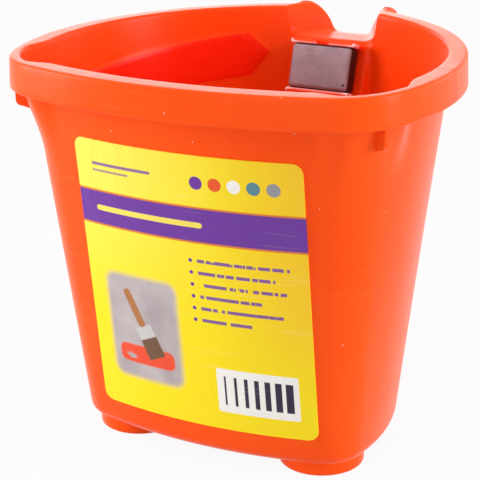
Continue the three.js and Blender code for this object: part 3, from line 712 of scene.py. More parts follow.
# %% [markdown]
# Where the notch's floor leaves the inner wall it falls over a round lip, so each section is lowered by
# a quarter circle there. The lofted net then cuts the rim, the ears and the handle's root in one go.

# %% Notch
LIP_RADIUS, LIP_START, LIP_BLEND, CUTTER_TOP = 2.8, 49.4, 1.5, 152
rows = []
for y in np.concatenate([np.arange(40.0, 56.0, 0.3), np.arange(56.0, 78.0, 0.5)]):
    across, height, share = notch_section(y)
    inner = np.interp(across, wall_line[:, 0], wall_line[:, 1])
    into = np.clip(y - soft_min(inner, LIP_START, LIP_BLEND), 0, LIP_RADIUS)
    fall = LIP_RADIUS - np.sqrt(LIP_RADIUS ** 2 - (LIP_RADIUS - into) ** 2)
    height = height - fall * (1 - smooth(0.1, 0.9, share))
    half = np.stack([across, np.full_like(across, y), height], axis=1)
    mirrored = half[:0:-1] * np.array([-1, 1, 1])
    rows.append(np.vstack([mirrored, half, [(half[-1, 0], y, CUTTER_TOP), (-half[-1, 0], y, CUTTER_TOP)]]))
combine(tub_body, net("notch", rows), "DIFFERENCE")
print("with notch, faces:", len(tub_body.data.polygons))

# %% [markdown]
# Each ear ends in a shallow dish. It could be sculpted, but a cut with a flattened ball gives its round
# hollow at once, and the same on both sides.

# %% Dishes of the ears
DISH_HALF, DISH_X, DISH_Y, DISH_Z = (2.6, 3.4, 2.2), 17.3, 62.8, 141.1
for side in (1, -1):
    deselect_all()
    bpy.ops.mesh.primitive_uv_sphere_add(segments=48, ring_count=24, radius=1.0)
    dish = bpy.context.object
    dish.scale = [half * MM for half in DISH_HALF]
    dish.location = (side * DISH_X * MM, (DISH_Y + SHIFT_Y) * MM, DISH_Z * MM)
    bpy.ops.object.transform_apply(location=True, rotation=True, scale=True)
    combine(tub_body, dish, "DIFFERENCE")
print("with dishes, faces:", len(tub_body.data.polygons))

# %% [markdown]
# Two narrow ledges hold the magnet above and below. The upper one has a half-round recess in its top,
# which leaves a thin lip over the magnet. They could be turned by hand to the magnet's lean, but three
# pieces have to lean alike. So the lean is one frame: across, up the magnet's face and into the wall.

# %% Frame of the leaning magnet
lean_basis = Matrix(((-1, 0, 0), (0, math.sin(LEAN), math.cos(LEAN)), (0, math.cos(LEAN), -math.sin(LEAN))))
LEAN_FRAME = Matrix.Translation(Vector((0, (MAGNET_Y + SHIFT_Y) * MM, MAGNET_Z * MM))) @ (
    lean_basis.transposed().to_4x4())
MAGNET_HALF_HEIGHT, LEDGE, LEDGE_GAP, LEDGE_BEVEL = 8.5, 1.5, 0.08, 0.45
LEDGE_DEEP = (0.1, SEAT_DEPTH + 1.0)


def ledge_block(name, half, low, high):
    """A block with bevelled edges in the leaning frame: half its width and its range up the face."""
    near, far = LEDGE_DEEP
    deselect_all()
    bpy.ops.mesh.primitive_cube_add(size=1)
    piece = bpy.context.object
    piece.name = name
    bpy.ops.object.mode_set(mode="EDIT")
    bpy.ops.mesh.select_all(action="SELECT")
    bpy.ops.transform.resize(value=(2 * half * MM, (high - low) * MM, (far - near) * MM))
    bpy.ops.transform.translate(value=(0, (low + high) / 2 * MM, (near + far) / 2 * MM))
    bpy.ops.mesh.bevel(offset=LEDGE_BEVEL * MM, segments=4, affect="EDGES")
    bpy.ops.object.mode_set(mode="OBJECT")
    piece.data.transform(LEAN_FRAME)
    return piece


print("magnet's face at:", tuple(round(v, 4) for v in LEAN_FRAME.translation))

# %% [markdown]
# The ledges are joined to the tub and not laid on it, because the real ones are part of the moulding.
# The recess is cut from the upper one with a rod that stands along the magnet's face.

# %% Ledges
UPPER_HALF, LOWER_HALF = 13.2, 13.0
RECESS_RADIUS, RECESS_LENGTH, RECESS_MIDDLE = 2.5, 8, 13.1
LEDGE_START = MAGNET_HALF_HEIGHT + LEDGE_GAP
upper = ledge_block("upper_ledge", UPPER_HALF, LEDGE_START, LEDGE_START + LEDGE)
deselect_all()
bpy.ops.mesh.primitive_cylinder_add(vertices=48, radius=RECESS_RADIUS * MM, depth=RECESS_LENGTH * MM)
recess = bpy.context.object
recess.rotation_euler = (math.pi / 2, 0, 0)
bpy.ops.object.transform_apply(location=True, rotation=True, scale=True)
recess.data.transform(LEAN_FRAME @ Matrix.Translation((0, RECESS_MIDDLE * MM, LEDGE_DEEP[0] * MM)))
combine(tub_body, upper, "UNION")
combine(tub_body, recess, "DIFFERENCE")
lower = ledge_block("lower_ledge", LOWER_HALF, -LEDGE_START - LEDGE, -LEDGE_START)
combine(tub_body, lower, "UNION")
print("with ledges, faces:", len(tub_body.data.polygons))

# %% [markdown]
# Below each pouring corner a thin gusset props the rim. Its outer end is rounded where it leaves the
# skirt, and its long edges are slightly softened. It could be cut from a plate and bevelled, but the
# bevel would also soften the edges that vanish in the wall. So its outline is laid six times across its
# thickness, drawn in a little at both faces.

# %% Gusset ribs
RIB_ANGLE, RIB_THICK, RIB_ROOT, RIB_TOP, RIB_FALL = math.radians(-31), 1.5, 17.9, 139.1, 3.0
RIB_LAYERS = ((-0.5, 0.28), (-0.44, 0.08), (-0.3, 0.0), (0.3, 0.0), (0.44, 0.08), (0.5, 0.28))
TOE_OUT, TOE_LOW, TOE_RADIUS = 28.0, 121.5, 2.2
toe = [(TOE_OUT - TOE_RADIUS + TOE_RADIUS * math.sin(a), TOE_LOW + TOE_RADIUS * (1 - math.cos(a)))
       for a in np.linspace(0, math.pi / 2, 9)]
rib_line = [(RIB_ROOT, RIB_TOP), (RIB_ROOT, TOE_LOW - RIB_FALL)] + toe + [(TOE_OUT, RIB_TOP)]
centre = np.mean(rib_line, axis=0)
for side in (1, -1):
    radial = np.array([side * math.cos(RIB_ANGLE), math.sin(RIB_ANGLE)])
    sideways = np.array([-radial[1], radial[0]])
    rows = []
    for offset, inset in RIB_LAYERS:
        row = []
        for out, z in rib_line:
            pull = np.array([out, z]) - centre
            out, z = np.array([out, z]) - inset * pull / np.linalg.norm(pull)
            spot = np.array([side * CORNER_X, CORNER_Y]) + radial * out + sideways * offset * RIB_THICK
            row.append((spot[0], spot[1], z))
        rows.append(row)
    rib = net("rib", rows)
    combine(rib, net("tub_space", inner_rows), "DIFFERENCE")
    combine(tub_body, rib, "UNION")
print("with ribs, faces:", len(tub_body.data.polygons))

# %% [markdown]
# Three round feet are moulded as shallow cups: a disc with a soft lower edge outside, a well inside, so
# that the plastic is nowhere thick. Bevelled cylinders would do. A net through a profile does it too,
# and gives the well its soft turn into the tub's floor.

# %% Feet
FOOT_RADIUS, FOOT_EDGE = 15.0, 1.0
WELL_RADIUS, WELL_EDGE, WELL_FLOOR, WELL_MOUTH = 11.4, 1.0, 2.8, [(12.4, 5.9), (12.9, 6.5), (13.0, 7.4)]
FOOT_PLACES = ((36.8, -38.6), (-36.8, -38.6), (0.0, 20.5))


def disc_rows(profile, x, y, count=72):
    angles = np.linspace(0, 2 * math.pi, count, endpoint=False)
    return [[(x + radius * math.cos(a), y + radius * math.sin(a), z) for a in angles]
            for radius, z in profile]


for x, y in FOOT_PLACES:
    edge = [(FOOT_RADIUS - FOOT_EDGE + FOOT_EDGE * math.sin(a), FOOT_EDGE - FOOT_EDGE * math.cos(a))
            for a in np.linspace(0, math.pi / 2, 6)]
    profile = edge + [(FOOT_RADIUS, 4.0), (FOOT_RADIUS - 0.2, 5.6)]
    combine(tub_body, net("foot", disc_rows(profile, x, y)), "UNION")
for x, y in FOOT_PLACES:
    edge = [(WELL_RADIUS + WELL_EDGE * math.sin(a), WELL_FLOOR - WELL_EDGE * math.cos(a))
            for a in np.linspace(0, math.pi / 2, 6)]
    combine(tub_body, net("foot_well", disc_rows(edge + WELL_MOUTH, x, y)), "DIFFERENCE")
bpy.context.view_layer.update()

# %% [markdown]
# The soft sleeve is a second material moulded over the handle: a C-shaped section swept along the same
# curve, open on the side of the fingers. Shallow cross grooves on its back keep the palm from slipping.
# Booleans could cut them, but as a part of the swept section they follow the bend and end cleanly at
# the edges.

# %% Section of the sleeve
GRIP_START, GRIP_END, SEAT_GAP, END_ROLL, ROLL_FROM, ROLL_REACH = 0.42, 0.945, 0.3, 0.9, 0.965, 0.035
GROOVES, GROOVE_DEPTH, GROOVE_WIDTH = 11, 0.55, 0.17


def finely(section, pieces=5):
    """More points on the long straight stretches of a section."""
    points = np.array(section)
    result = []
    for a, b in zip(points, np.roll(points, -1, axis=0)):
        count = pieces if np.linalg.norm(b - a) > 2 else 1
        result += [tuple(lerp(a, b, i / count)) for i in range(count)]
    return result


def sleeve_section(half, depth, s):
    plain = finely(rounded_box(half + GRIP_SKIN, -depth - GRIP_WRAP, GRIP_SKIN, 3.4, 8))
    t = (s - GRIP_START) / (GRIP_END - GRIP_START)
    near_end = max(0.0, abs(2 * t - 1) - ROLL_FROM) / ROLL_REACH
    shrink = END_ROLL * (1 - math.sqrt(max(0.0, 1 - near_end ** 2)))
    wave = (t * (GROOVES + 2)) % 1.0
    in_field = 1 / (GROOVES + 2) < t < 1 - 1 / (GROOVES + 2)
    groove = GROOVE_DEPTH * math.exp(-((wave - 0.5) / GROOVE_WIDTH) ** 2) if in_field else 0.0
    middle = (GRIP_SKIN - depth - GRIP_WRAP) / 2
    points = []
    for x, out in plain:
        pull = 1 - shrink / max(1.0, math.hypot(x, out - middle))
        depth_here = groove * float(smooth(half + 0.5, half - 3.5, abs(x))) * (out > 0)
        points.append((x * pull, middle + (out - middle) * pull - depth_here))
    return points


print("grooves across the sleeve:", GROOVES, "of", GROOVE_DEPTH, "mm")

# %% [markdown]
# The sleeve is swept as a full bar first. The handle's own section, a little larger, is then cut out of
# it, and so is the slot on the side of the fingers. Both cutters run past the ends of the sleeve. A
# C-shaped section would save the cuts, but its inside would need the bar's corners as well.

# %% Handle sleeve
LONGER = (GRIP_START - 0.03, GRIP_END + 0.03)
SLOT_SIDE = 3.0
sleeve = sweep("soft_grip", GRIP_START, GRIP_END, 150, sleeve_section)
core = sweep("grip_core", *LONGER, 60,
             lambda half, depth, s: rounded_box(half + SEAT_GAP, -depth - SEAT_GAP, SEAT_GAP, 1.2))
combine(sleeve, core, "DIFFERENCE")
slot = sweep("grip_slot", *LONGER, 60,
             lambda half, depth, s: rounded_box(half - SLOT_SIDE, -depth - GRIP_WRAP - 4, -depth / 2, 0.8))
combine(sleeve, slot, "DIFFERENCE")
print("sleeve faces:", len(sleeve.data.polygons))

# %% [markdown]
# The magnet is a pressed and ground ferrite block. Its four upright edges are rounded by the press tool,
# and grinding leaves only a breath of a bevel round its faces. One Bevel modifier would round all edges
# alike, so the two sets of edges are chosen in code and bevelled one after the other.

# %% Magnet
MAGNET_SIZE = (25, 2 * MAGNET_HALF_HEIGHT, 7)
PRESSED_RADIUS, GROUND_BEVEL, UPRIGHT, LEVEL = 1.7, 0.16, 5, 0.01
deselect_all()
bpy.ops.mesh.primitive_cube_add(size=1)
magnet = bpy.context.object
magnet.name = "ferrite_magnet"
bpy.ops.object.mode_set(mode="EDIT")
bpy.ops.transform.resize(value=[length * MM for length in MAGNET_SIZE])
bpy.ops.transform.translate(value=(0, 0, MAGNET_SIZE[2] / 2 * MM))
bpy.ops.mesh.select_all(action="DESELECT")
bpy.ops.object.mode_set(mode="OBJECT")
for edge in magnet.data.edges:
    a, b = (magnet.data.vertices[i].co for i in edge.vertices)
    edge.select = abs(a.z - b.z) > UPRIGHT * MM
bpy.ops.object.mode_set(mode="EDIT")
bpy.ops.mesh.select_mode(type="EDGE")
bpy.ops.mesh.bevel(offset=PRESSED_RADIUS * MM, segments=8, affect="EDGES")
bpy.ops.mesh.select_all(action="DESELECT")
bpy.ops.object.mode_set(mode="OBJECT")
for edge in magnet.data.edges:
    a, b = (magnet.data.vertices[i].co for i in edge.vertices)
    edge.select = abs(a.z - b.z) < LEVEL * MM
bpy.ops.object.mode_set(mode="EDIT")
bpy.ops.mesh.bevel(offset=GROUND_BEVEL * MM, segments=3, affect="EDGES")
bpy.ops.object.mode_set(mode="OBJECT")
magnet.data.transform(LEAN_FRAME)
print("magnet faces:", len(magnet.data.polygons))

# %% [markdown]
# The label is a film that follows the front wall. A plane with Shrinkwrap and Solidify could lie on it
# too. Here each row of its net runs along the wall from left to right on the outside and back again a
# little deeper, so the film has a real edge and stays clear of the wall.

# %% Label film
LABEL_LEFT, LABEL_RIGHT, LABEL_BOTTOM, LABEL_TOP, LABEL_CORNER = -40.0, 44.0, 15.5, 116.5, 3.5
FILM_OUTSIDE, FILM_INSIDE, PAST_CORNER, FRONT_OF_TUB = 0.45, 0.05, 1.5, -30


def wall_front(z, grow, x):
    points = wall_ring(z, grow)
    front = points[points[:, 1] < FRONT_OF_TUB]
    front = front[np.argsort(front[:, 0])]
    return np.interp(x, front[:, 0], front[:, 1])


corner_steps = LABEL_CORNER * (1 - np.cos(np.linspace(0.05, math.pi / 2, 8)))
straight_steps = np.linspace(LABEL_BOTTOM + LABEL_CORNER + PAST_CORNER,
                             LABEL_TOP - LABEL_CORNER - PAST_CORNER, 70)
heights = np.concatenate([LABEL_BOTTOM + corner_steps, straight_steps, LABEL_TOP - corner_steps[::-1]])
rows = []
for z in heights:
    into = max(0.0, LABEL_CORNER - min(z - LABEL_BOTTOM, LABEL_TOP - z))
    inset = LABEL_CORNER - math.sqrt(LABEL_CORNER ** 2 - into ** 2)
    x = np.linspace(LABEL_LEFT + inset, LABEL_RIGHT - inset, 64)
    outside = np.stack([x, wall_front(z, FILM_OUTSIDE, x), np.full_like(x, z)], axis=1)
    inside = np.stack([x, wall_front(z, FILM_INSIDE, x), np.full_like(x, z)], axis=1)[::-1]
    rows.append(np.vstack([outside, inside]))
label = net("label_film", rows)
print("label faces:", len(label.data.polygons))

# %% [markdown]
# The print needs flat places on the film. Unwrapping would give them with some stretch, so the UV map is
# laid from the points themselves, as shares of the label's width and height. The print can then be drawn
# in millimetres, whatever the wall's curve does.

# %% UV map of the label
uv = label.data.uv_layers.active or label.data.uv_layers.new(name="UVMap")
corner_points = np.array([label.data.vertices[loop.vertex_index].co for loop in label.data.loops]) / MM
shares = np.stack([(corner_points[:, 0] - LABEL_LEFT) / (LABEL_RIGHT - LABEL_LEFT),
                   (corner_points[:, 2] - LABEL_BOTTOM) / (LABEL_TOP - LABEL_BOTTOM)], axis=1)
uv.data.foreach_set("uv", shares.reshape(-1).astype(np.float32))
print("label's UV range:", shares.min(axis=0).round(3), shares.max(axis=0).round(3))

# %% [markdown]
# Shader nodes can be drawn by hand in the editor, but here a finish has dozens of them, and a sum is
# easier to read as one line of code. These helpers add a node, fill its inputs with numbers or link
# them to sockets, and hand back its output.

# %% Node helpers
class Sheet:
    """A node tree with short ways to add nodes."""

    def __init__(self, tree):
        self.nodes, self.links = tree.nodes, tree.links

    def put(self, socket, value):
        if isinstance(value, bpy.types.NodeSocket):
            self.links.new(value, socket)
        else:
            socket.default_value = value

    def math(self, operation, a, b=0.0):
        node = self.nodes.new("ShaderNodeMath")
        node.operation = operation
        for socket, value in zip(node.inputs, (a, b)):
            self.put(socket, value)
        return node.outputs[0]

    def times(self, first, *others):
        """A product, multiplied from left to right."""
        for other in others:
            first = self.math("MULTIPLY", first, other)
        return first

    def vector(self, operation, a, b=(0, 0, 0)):
        node = self.nodes.new("ShaderNodeVectorMath")
        node.operation = operation
        self.put(node.inputs[0], a)
        if operation == "SCALE":
            self.put(node.inputs["Scale"], b)
        else:
            self.put(node.inputs[1], b)
        return node.outputs["Value" if operation in ("LENGTH", "DOT_PRODUCT") else "Vector"]

    def noise(self, place, scale, detail=2.0, roughness=0.5, stretch=None):
        node = self.nodes.new("ShaderNodeTexNoise")
        node.inputs["Scale"].default_value = scale
        node.inputs["Detail"].default_value = detail
        node.inputs["Roughness"].default_value = roughness
        self.put(node.inputs["Vector"], self.vector("MULTIPLY", place, stretch) if stretch else place)
        return node.outputs["Fac"]

    def ramp(self, value, low, high, to_low=0.0, to_high=1.0):
        node = self.nodes.new("ShaderNodeMapRange")
        node.interpolation_type = "SMOOTHSTEP"
        for name, item in (("Value", value), ("From Min", low), ("From Max", high),
                           ("To Min", to_low), ("To Max", to_high)):
            self.put(node.inputs[name], item)
        return node.outputs["Result"]

    def blend(self, share, a, b):
        node = self.nodes.new("ShaderNodeMix")
        node.data_type = "RGBA"
        self.put(node.inputs["Factor"], share)
        for name, value in (("A", a), ("B", b)):
            socket = [s for s in node.inputs if s.name == name and s.type == "RGBA"][0]
            self.put(socket, (*value, 1) if isinstance(value, tuple) and len(value) == 3 else value)
        return [s for s in node.outputs if s.type == "RGBA"][0]

    def bump(self, height, strength, distance):
        node = self.nodes.new("ShaderNodeBump")
        node.inputs["Strength"].default_value = strength
        node.inputs["Distance"].default_value = distance
        self.put(node.inputs["Height"], height)
        return node.outputs["Normal"]

    def place(self, kind="Object"):
        return self.nodes.new("ShaderNodeTexCoord").outputs[kind]


print("node helpers:", [name for name in vars(Sheet) if not name.startswith("_")])

# %% [markdown]
# A node group is made once, with named inputs and outputs, and placed in every material that needs it.
# Copying the nodes into each material would look the same, but a change would have to be made in each.

# %% Group helpers
def new_group(name, inputs, outputs):
    """A node group with named inputs and outputs, the sheet of its inside and the sockets there."""
    group = bpy.data.node_groups.new(name, "ShaderNodeTree")
    for title, kind, value in inputs:
        socket = group.interface.new_socket(name=title, in_out="INPUT", socket_type=kind)
        if value is not None:
            socket.default_value = value
    for title, kind in outputs:
        group.interface.new_socket(name=title, in_out="OUTPUT", socket_type=kind)
    sheet = Sheet(group)
    return group, sheet, group.nodes.new("NodeGroupInput").outputs, group.nodes.new("NodeGroupOutput").inputs


def use_group(sheet, group, **values):
    node = sheet.nodes.new("ShaderNodeGroup")
    node.node_tree = group
    for name, value in values.items():
        sheet.put(node.inputs[name.replace("_", " ")], value)
    return node.outputs


print("helpers ready: new_group, use_group")

# %% [markdown]
# Three effects are shared by several finishes, so each is a node group that is built once and gets its
# own values in each material. The first is the moulded skin: the fine matt texture of a spark-eroded
# mould, with the slow unevenness that shrinking leaves. An image could give it, but noise has no seams.

# %% Moulded skin
skin_group, sheet, given, result = new_group(
    "moulded_skin", [("Place", "NodeSocketVector", None), ("Grain Scale", "NodeSocketFloat", 2200.0)],
    [("Height", "NodeSocketFloat"), ("Cloud", "NodeSocketFloat")])
grain = sheet.nodes.new("ShaderNodeTexNoise")
sheet.links.new(given["Place"], grain.inputs["Vector"])
sheet.links.new(given["Grain Scale"], grain.inputs["Scale"])
grain.inputs["Detail"].default_value = 3.0
slow = sheet.noise(given["Place"], 42.0, 2.0)
cloud = sheet.noise(given["Place"], 18.0, 3.0)
fine = sheet.times(grain.outputs["Fac"], 0.10)
sheet.put(result["Height"], sheet.math("ADD", fine, sheet.times(slow, 1.6)))
sheet.put(result["Cloud"], cloud)
print("group:", skin_group.name)

# %% [markdown]
# Dust and lint lie on a used kettle as small pale flecks. A cell pattern gives round spots at random
# places, and a slower noise chooses where they show, because evenly spread dust looks like paint.

# %% Dust and specks
dust_group, sheet, given, result = new_group(
    "dust_and_specks", [("Place", "NodeSocketVector", None), ("Speck Scale", "NodeSocketFloat", 260.0),
                        ("Speck Size", "NodeSocketFloat", 0.055)],
    [("Mask", "NodeSocketFloat")])
cells = sheet.nodes.new("ShaderNodeTexVoronoi")
sheet.links.new(given["Place"], cells.inputs["Vector"])
sheet.links.new(given["Speck Scale"], cells.inputs["Scale"])
speck_core = sheet.times(given["Speck Size"], 0.4)
spot = sheet.ramp(cells.outputs["Distance"], given["Speck Size"], speck_core)
chosen = sheet.ramp(sheet.noise(given["Place"], 90.0, 1.0), 0.54, 0.60)
sheet.put(result["Mask"], sheet.times(spot, chosen))
print("group:", dust_group.name)

# %% [markdown]
# Handling marks are long thin scuffs. Painted strokes would be the slow way. A noise that is stretched
# along two axes and thinned by a patchy one gives many of them.

# %% Handling marks
scuff_group, sheet, given, result = new_group(
    "handling_marks", [("Place", "NodeSocketVector", None), ("Amount", "NodeSocketFloat", 0.5)],
    [("Mask", "NodeSocketFloat")])
rub = sheet.noise(given["Place"], 300.0, 2.0, 0.6, stretch=(0.12, 0.12, 2.6))
patch = sheet.noise(given["Place"], 30.0, 2.0)
lines = sheet.times(sheet.ramp(rub, 0.60, 0.70), sheet.ramp(patch, 0.48, 0.62))
sheet.put(result["Mask"], sheet.times(lines, given["Amount"]))
print("group:", scuff_group.name)

# %% [markdown]
# The tub is injection-moulded polypropylene in a loud orange. A single colour would look like a drawing.
# The pigment is even, so the orange drifts only a little with the flow of the melt, and thin scuffs and
# pale dust lie over it.

# %% Tub plastic
ORANGE, ORANGE_DEEP, ORANGE_PALE = (1.0, 0.092, 0.006), (1.0, 0.081, 0.004), (1.0, 0.150, 0.026)
LINT = (1.0, 0.60, 0.45)
tub_plastic, tub_shader = new_material("tub_plastic", ORANGE, 0.28)
sheet = Sheet(tub_plastic.node_tree)
place = sheet.place()
skin = use_group(sheet, skin_group, Place=place, Grain_Scale=2600.0)
dust = use_group(sheet, dust_group, Place=place, Speck_Scale=250.0, Speck_Size=0.08)
marks = use_group(sheet, scuff_group, Place=place, Amount=0.6)
color = sheet.blend(sheet.ramp(skin["Cloud"], 0.35, 0.65), ORANGE_DEEP, ORANGE)
color = sheet.blend(sheet.times(marks["Mask"], 0.5), color, ORANGE_PALE)
color = sheet.blend(sheet.times(dust["Mask"], 0.85), color, LINT)
print("oranges:", ORANGE_DEEP, ORANGE, ORANGE_PALE)

# %% [markdown]
# Inside the tub the orange looks deeper and redder than outside, probably because the light there has
# bounced from wall to wall. The render's own bounces don't deepen it enough, so a painted shade of deeper
# red tints the plastic on its inner side. An attribute says which points look inwards; it is written just
# before the pieces are dressed.
# The raised panel looks deeper still, and its tint is drawn with the panel's own sizes.

# %% Inner side and panel
INNER_SHADE_RED, PANEL_RED = (1.0, 0.050, 0.0005), (1.0, 0.012, 0.0003)
TINT_SIDE, TINT_TIP, LEFT_FADE = 0.3, 0.4, (-0.005, -0.012)
spot = sheet.nodes.new("ShaderNodeSeparateXYZ")
sheet.put(spot.inputs[0], place)
inner_mark = sheet.nodes.new("ShaderNodeAttribute")
inner_mark.attribute_name = "inner_side"
on_inside = inner_mark.outputs["Fac"]
from_centre = sheet.vector("SUBTRACT", place, (0, (CENTRE_Y + SHIFT_Y) * MM, 0))
panel_run = (-math.sin(PANEL_DIRECTION), math.cos(PANEL_DIRECTION), 0)
along_panel = sheet.vector("DOT_PRODUCT", from_centre, panel_run)
middle = sheet.math("ADD", sheet.times(along_panel, PANEL_SLOPE), PANEL_MIDDLE * MM)
across = sheet.math("ABSOLUTE", sheet.math("SUBTRACT", spot.outputs["Z"], middle))
reach = sheet.math("ADD", sheet.math("ABSOLUTE", along_panel), sheet.times(across, PANEL_POINT))
in_height = sheet.ramp(across, (PANEL_HEIGHT / 2 + TINT_SIDE) * MM, (PANEL_HEIGHT / 2 - TINT_SIDE) * MM)
in_length = sheet.ramp(reach, (PANEL_TIP + TINT_TIP) * MM, (PANEL_TIP - TINT_TIP) * MM)
on_panel = sheet.times(in_height, in_length, sheet.ramp(spot.outputs["X"], *LEFT_FADE), on_inside)
# Painted shade: the inner side turns a deeper red.
color = sheet.blend(sheet.times(on_inside, 0.6), color, INNER_SHADE_RED)
color = sheet.blend(sheet.times(on_panel, 0.9), color, PANEL_RED)
print("inner side:", INNER_SHADE_RED, "panel:", PANEL_RED)

# %% [markdown]
# The halves of the mould left a fine line across the skirt at both sides. It could be modelled as a step
# in the mesh, but it is finer than the mesh's faces. So it is drawn: a thin dark seam, and a strip behind
# it that the bump lifts a little.

# %% Mould line
MOULD_LINE_Y, SEAM_RED = -0.0326, (0.62, 0.030, 0.001)
SEAM_EDGES, STRIP_START, STRIP_END = (0.00040, 0.00012), (0.0, 0.0003), (0.006, 0.001)
SKIRT_SIDES, SKIRT_EDGE = (0.068, 0.070), (SKIRT_BOTTOM * MM - 0.0002, SKIRT_BOTTOM * MM)
past_line = sheet.math("SUBTRACT", spot.outputs["Y"], MOULD_LINE_Y)
at_side = sheet.ramp(sheet.math("ABSOLUTE", spot.outputs["X"]), *SKIRT_SIDES)
on_skirt = sheet.times(at_side, sheet.ramp(spot.outputs["Z"], *SKIRT_EDGE))
seam = sheet.times(on_skirt, sheet.ramp(sheet.math("ABSOLUTE", past_line), *SEAM_EDGES))
color = sheet.blend(sheet.times(seam, 0.75), color, SEAM_RED)
in_strip = sheet.times(sheet.ramp(past_line, *STRIP_START), sheet.ramp(past_line, *STRIP_END))
proud = sheet.times(on_skirt, in_strip)
print("mould line at Y mm:", MOULD_LINE_Y / MM)

# %% [markdown]
# The edges and ends of the two ledges carry a painted highlight, nearly white, and the recess a painted
# shade, dark because little light gets in. The masks are worked out in the magnet's leaning frame: place
# across, up and into the wall. Masks painted on the mesh would be lost whenever it is built anew.

# %% Painted highlight and shade on the ledges
LEDGE_HIGHLIGHT_WHITE, RECESS_SHADE_RED = (1.0, 0.90, 0.86), (0.90, 0.022, 0.0003)
LEDGE_FROM, EDGE_TO, LEDGE_TO = (0.0083, 0.0086), (0.0096, 0.0090), (0.0104, 0.0100)
EDGE_DEPTH, END_DEPTH = (0.0009, 0.0004), (0.0055, 0.0035)
PALER_OUTWARDS, END_FROM, END_TO = (0.0095, 0.0122), (0.0121, 0.0125), (0.0140, 0.0136)
RECESS_ROUND, RECESS_FROM = (0.0027, 0.0024), (0.0084, 0.0088)
from_magnet = sheet.vector("SUBTRACT", place, tuple(LEAN_FRAME.translation))
axes = [tuple(LEAN_FRAME.to_3x3() @ Vector(axis)) for axis in ((1, 0, 0), (0, 1, 0), (0, 0, 1))]
to_side, up_face, into_wall = [sheet.vector("DOT_PRODUCT", from_magnet, axis) for axis in axes]
height_off, side_off = sheet.math("ABSOLUTE", up_face), sheet.math("ABSOLUTE", to_side)
at_edge = sheet.times(sheet.ramp(height_off, *LEDGE_FROM), sheet.ramp(height_off, *EDGE_TO),
                      sheet.ramp(into_wall, *EDGE_DEPTH))
pale = sheet.times(at_edge, sheet.ramp(side_off, *PALER_OUTWARDS, 0.35, 0.95))
at_end = sheet.times(sheet.ramp(side_off, *END_FROM), sheet.ramp(into_wall, *END_DEPTH))
on_ledge = sheet.times(sheet.ramp(height_off, *LEDGE_FROM), sheet.ramp(height_off, *LEDGE_TO))
pale = sheet.math("MAXIMUM", pale, sheet.times(at_end, on_ledge, 0.85))
from_rod = sheet.vector("SUBTRACT", from_magnet, sheet.vector("SCALE", axes[1], up_face))
in_recess = sheet.times(sheet.ramp(sheet.vector("LENGTH", from_rod), *RECESS_ROUND),
                        sheet.ramp(up_face, *RECESS_FROM))
pale = sheet.times(pale, sheet.math("SUBTRACT", 1.0, in_recess), sheet.ramp(side_off, *END_TO))
# Painted shade: the recess turns a darker red.
color = sheet.blend(sheet.times(in_recess, 0.9), color, RECESS_SHADE_RED)
# Painted highlight: the ledges' edges and ends turn nearly white.
color = sheet.blend(pale, color, LEDGE_HIGHLIGHT_WHITE)
print("ledges highlighted up to mm:", LEDGE_TO[0] / MM)

# %% [markdown]
# The gloss is satin and a little cloudy, and duller where it is scuffed. A clear coat would be too shiny:
# the photograph's plastic shows only weak reflections, so the specular level is low. A pale sheen stands
# in for the light that the plastic scatters just under its skin at a glancing view.

# %% Surface of the plastic
BUMP_STRENGTH, BUMP_DISTANCE = 0.35, 0.0006
sheet.put(tub_shader.inputs["Base Color"], color)
rough = sheet.ramp(skin["Cloud"], 0.3, 0.7, 0.25, 0.32)
sheet.put(tub_shader.inputs["Roughness"], sheet.math("ADD", rough, sheet.times(marks["Mask"], 0.14)))
height = sheet.math("ADD", skin["Height"], sheet.times(proud, 0.4))
sheet.put(tub_shader.inputs["Normal"], sheet.bump(height, BUMP_STRENGTH, BUMP_DISTANCE))
tub_shader.inputs["Specular IOR Level"].default_value = 0.11
tub_shader.inputs["Sheen Weight"].default_value = 0.32
tub_shader.inputs["Sheen Roughness"].default_value = 0.32
tub_shader.inputs["Sheen Tint"].default_value = (1.0, 0.66, 0.56, 1)
print("tub plastic nodes:", len(tub_plastic.node_tree.nodes))

# %% [markdown]
# The sleeve is a soft charcoal elastomer: nearly matt, stippled by the mould, greyer where dust clings.
# It could have effects of its own, but moulding and use leave the same kinds of marks on both. So it uses
# the same three groups as the tub, with a coarser skin and stronger scuffs.

# %% Grip rubber
CHARCOAL, CHARCOAL_PALE = (0.017, 0.017, 0.020), (0.030, 0.030, 0.035)
DUST_GREY, SCUFF_GREY = (0.22, 0.20, 0.19), (0.10, 0.10, 0.11)
grip_rubber, shader = new_material("grip_rubber", (0.022, 0.022, 0.026), 0.68)
sheet = Sheet(grip_rubber.node_tree)
place = sheet.place()
skin = use_group(sheet, skin_group, Place=place, Grain_Scale=1500.0)
dust = use_group(sheet, dust_group, Place=place, Speck_Scale=420.0, Speck_Size=0.09)
marks = use_group(sheet, scuff_group, Place=place, Amount=1.0)
color = sheet.blend(skin["Cloud"], CHARCOAL, CHARCOAL_PALE)
color = sheet.blend(sheet.times(dust["Mask"], 0.6), color, DUST_GREY)
color = sheet.blend(sheet.times(marks["Mask"], 0.25), color, SCUFF_GREY)
sheet.put(shader.inputs["Base Color"], color)
sheet.put(shader.inputs["Roughness"], sheet.ramp(skin["Cloud"], 0.3, 0.7, 0.62, 0.76))
sheet.put(shader.inputs["Normal"], sheet.bump(skin["Height"], 0.9, 0.0010))
print("grip rubber nodes:", len(grip_rubber.node_tree.nodes))
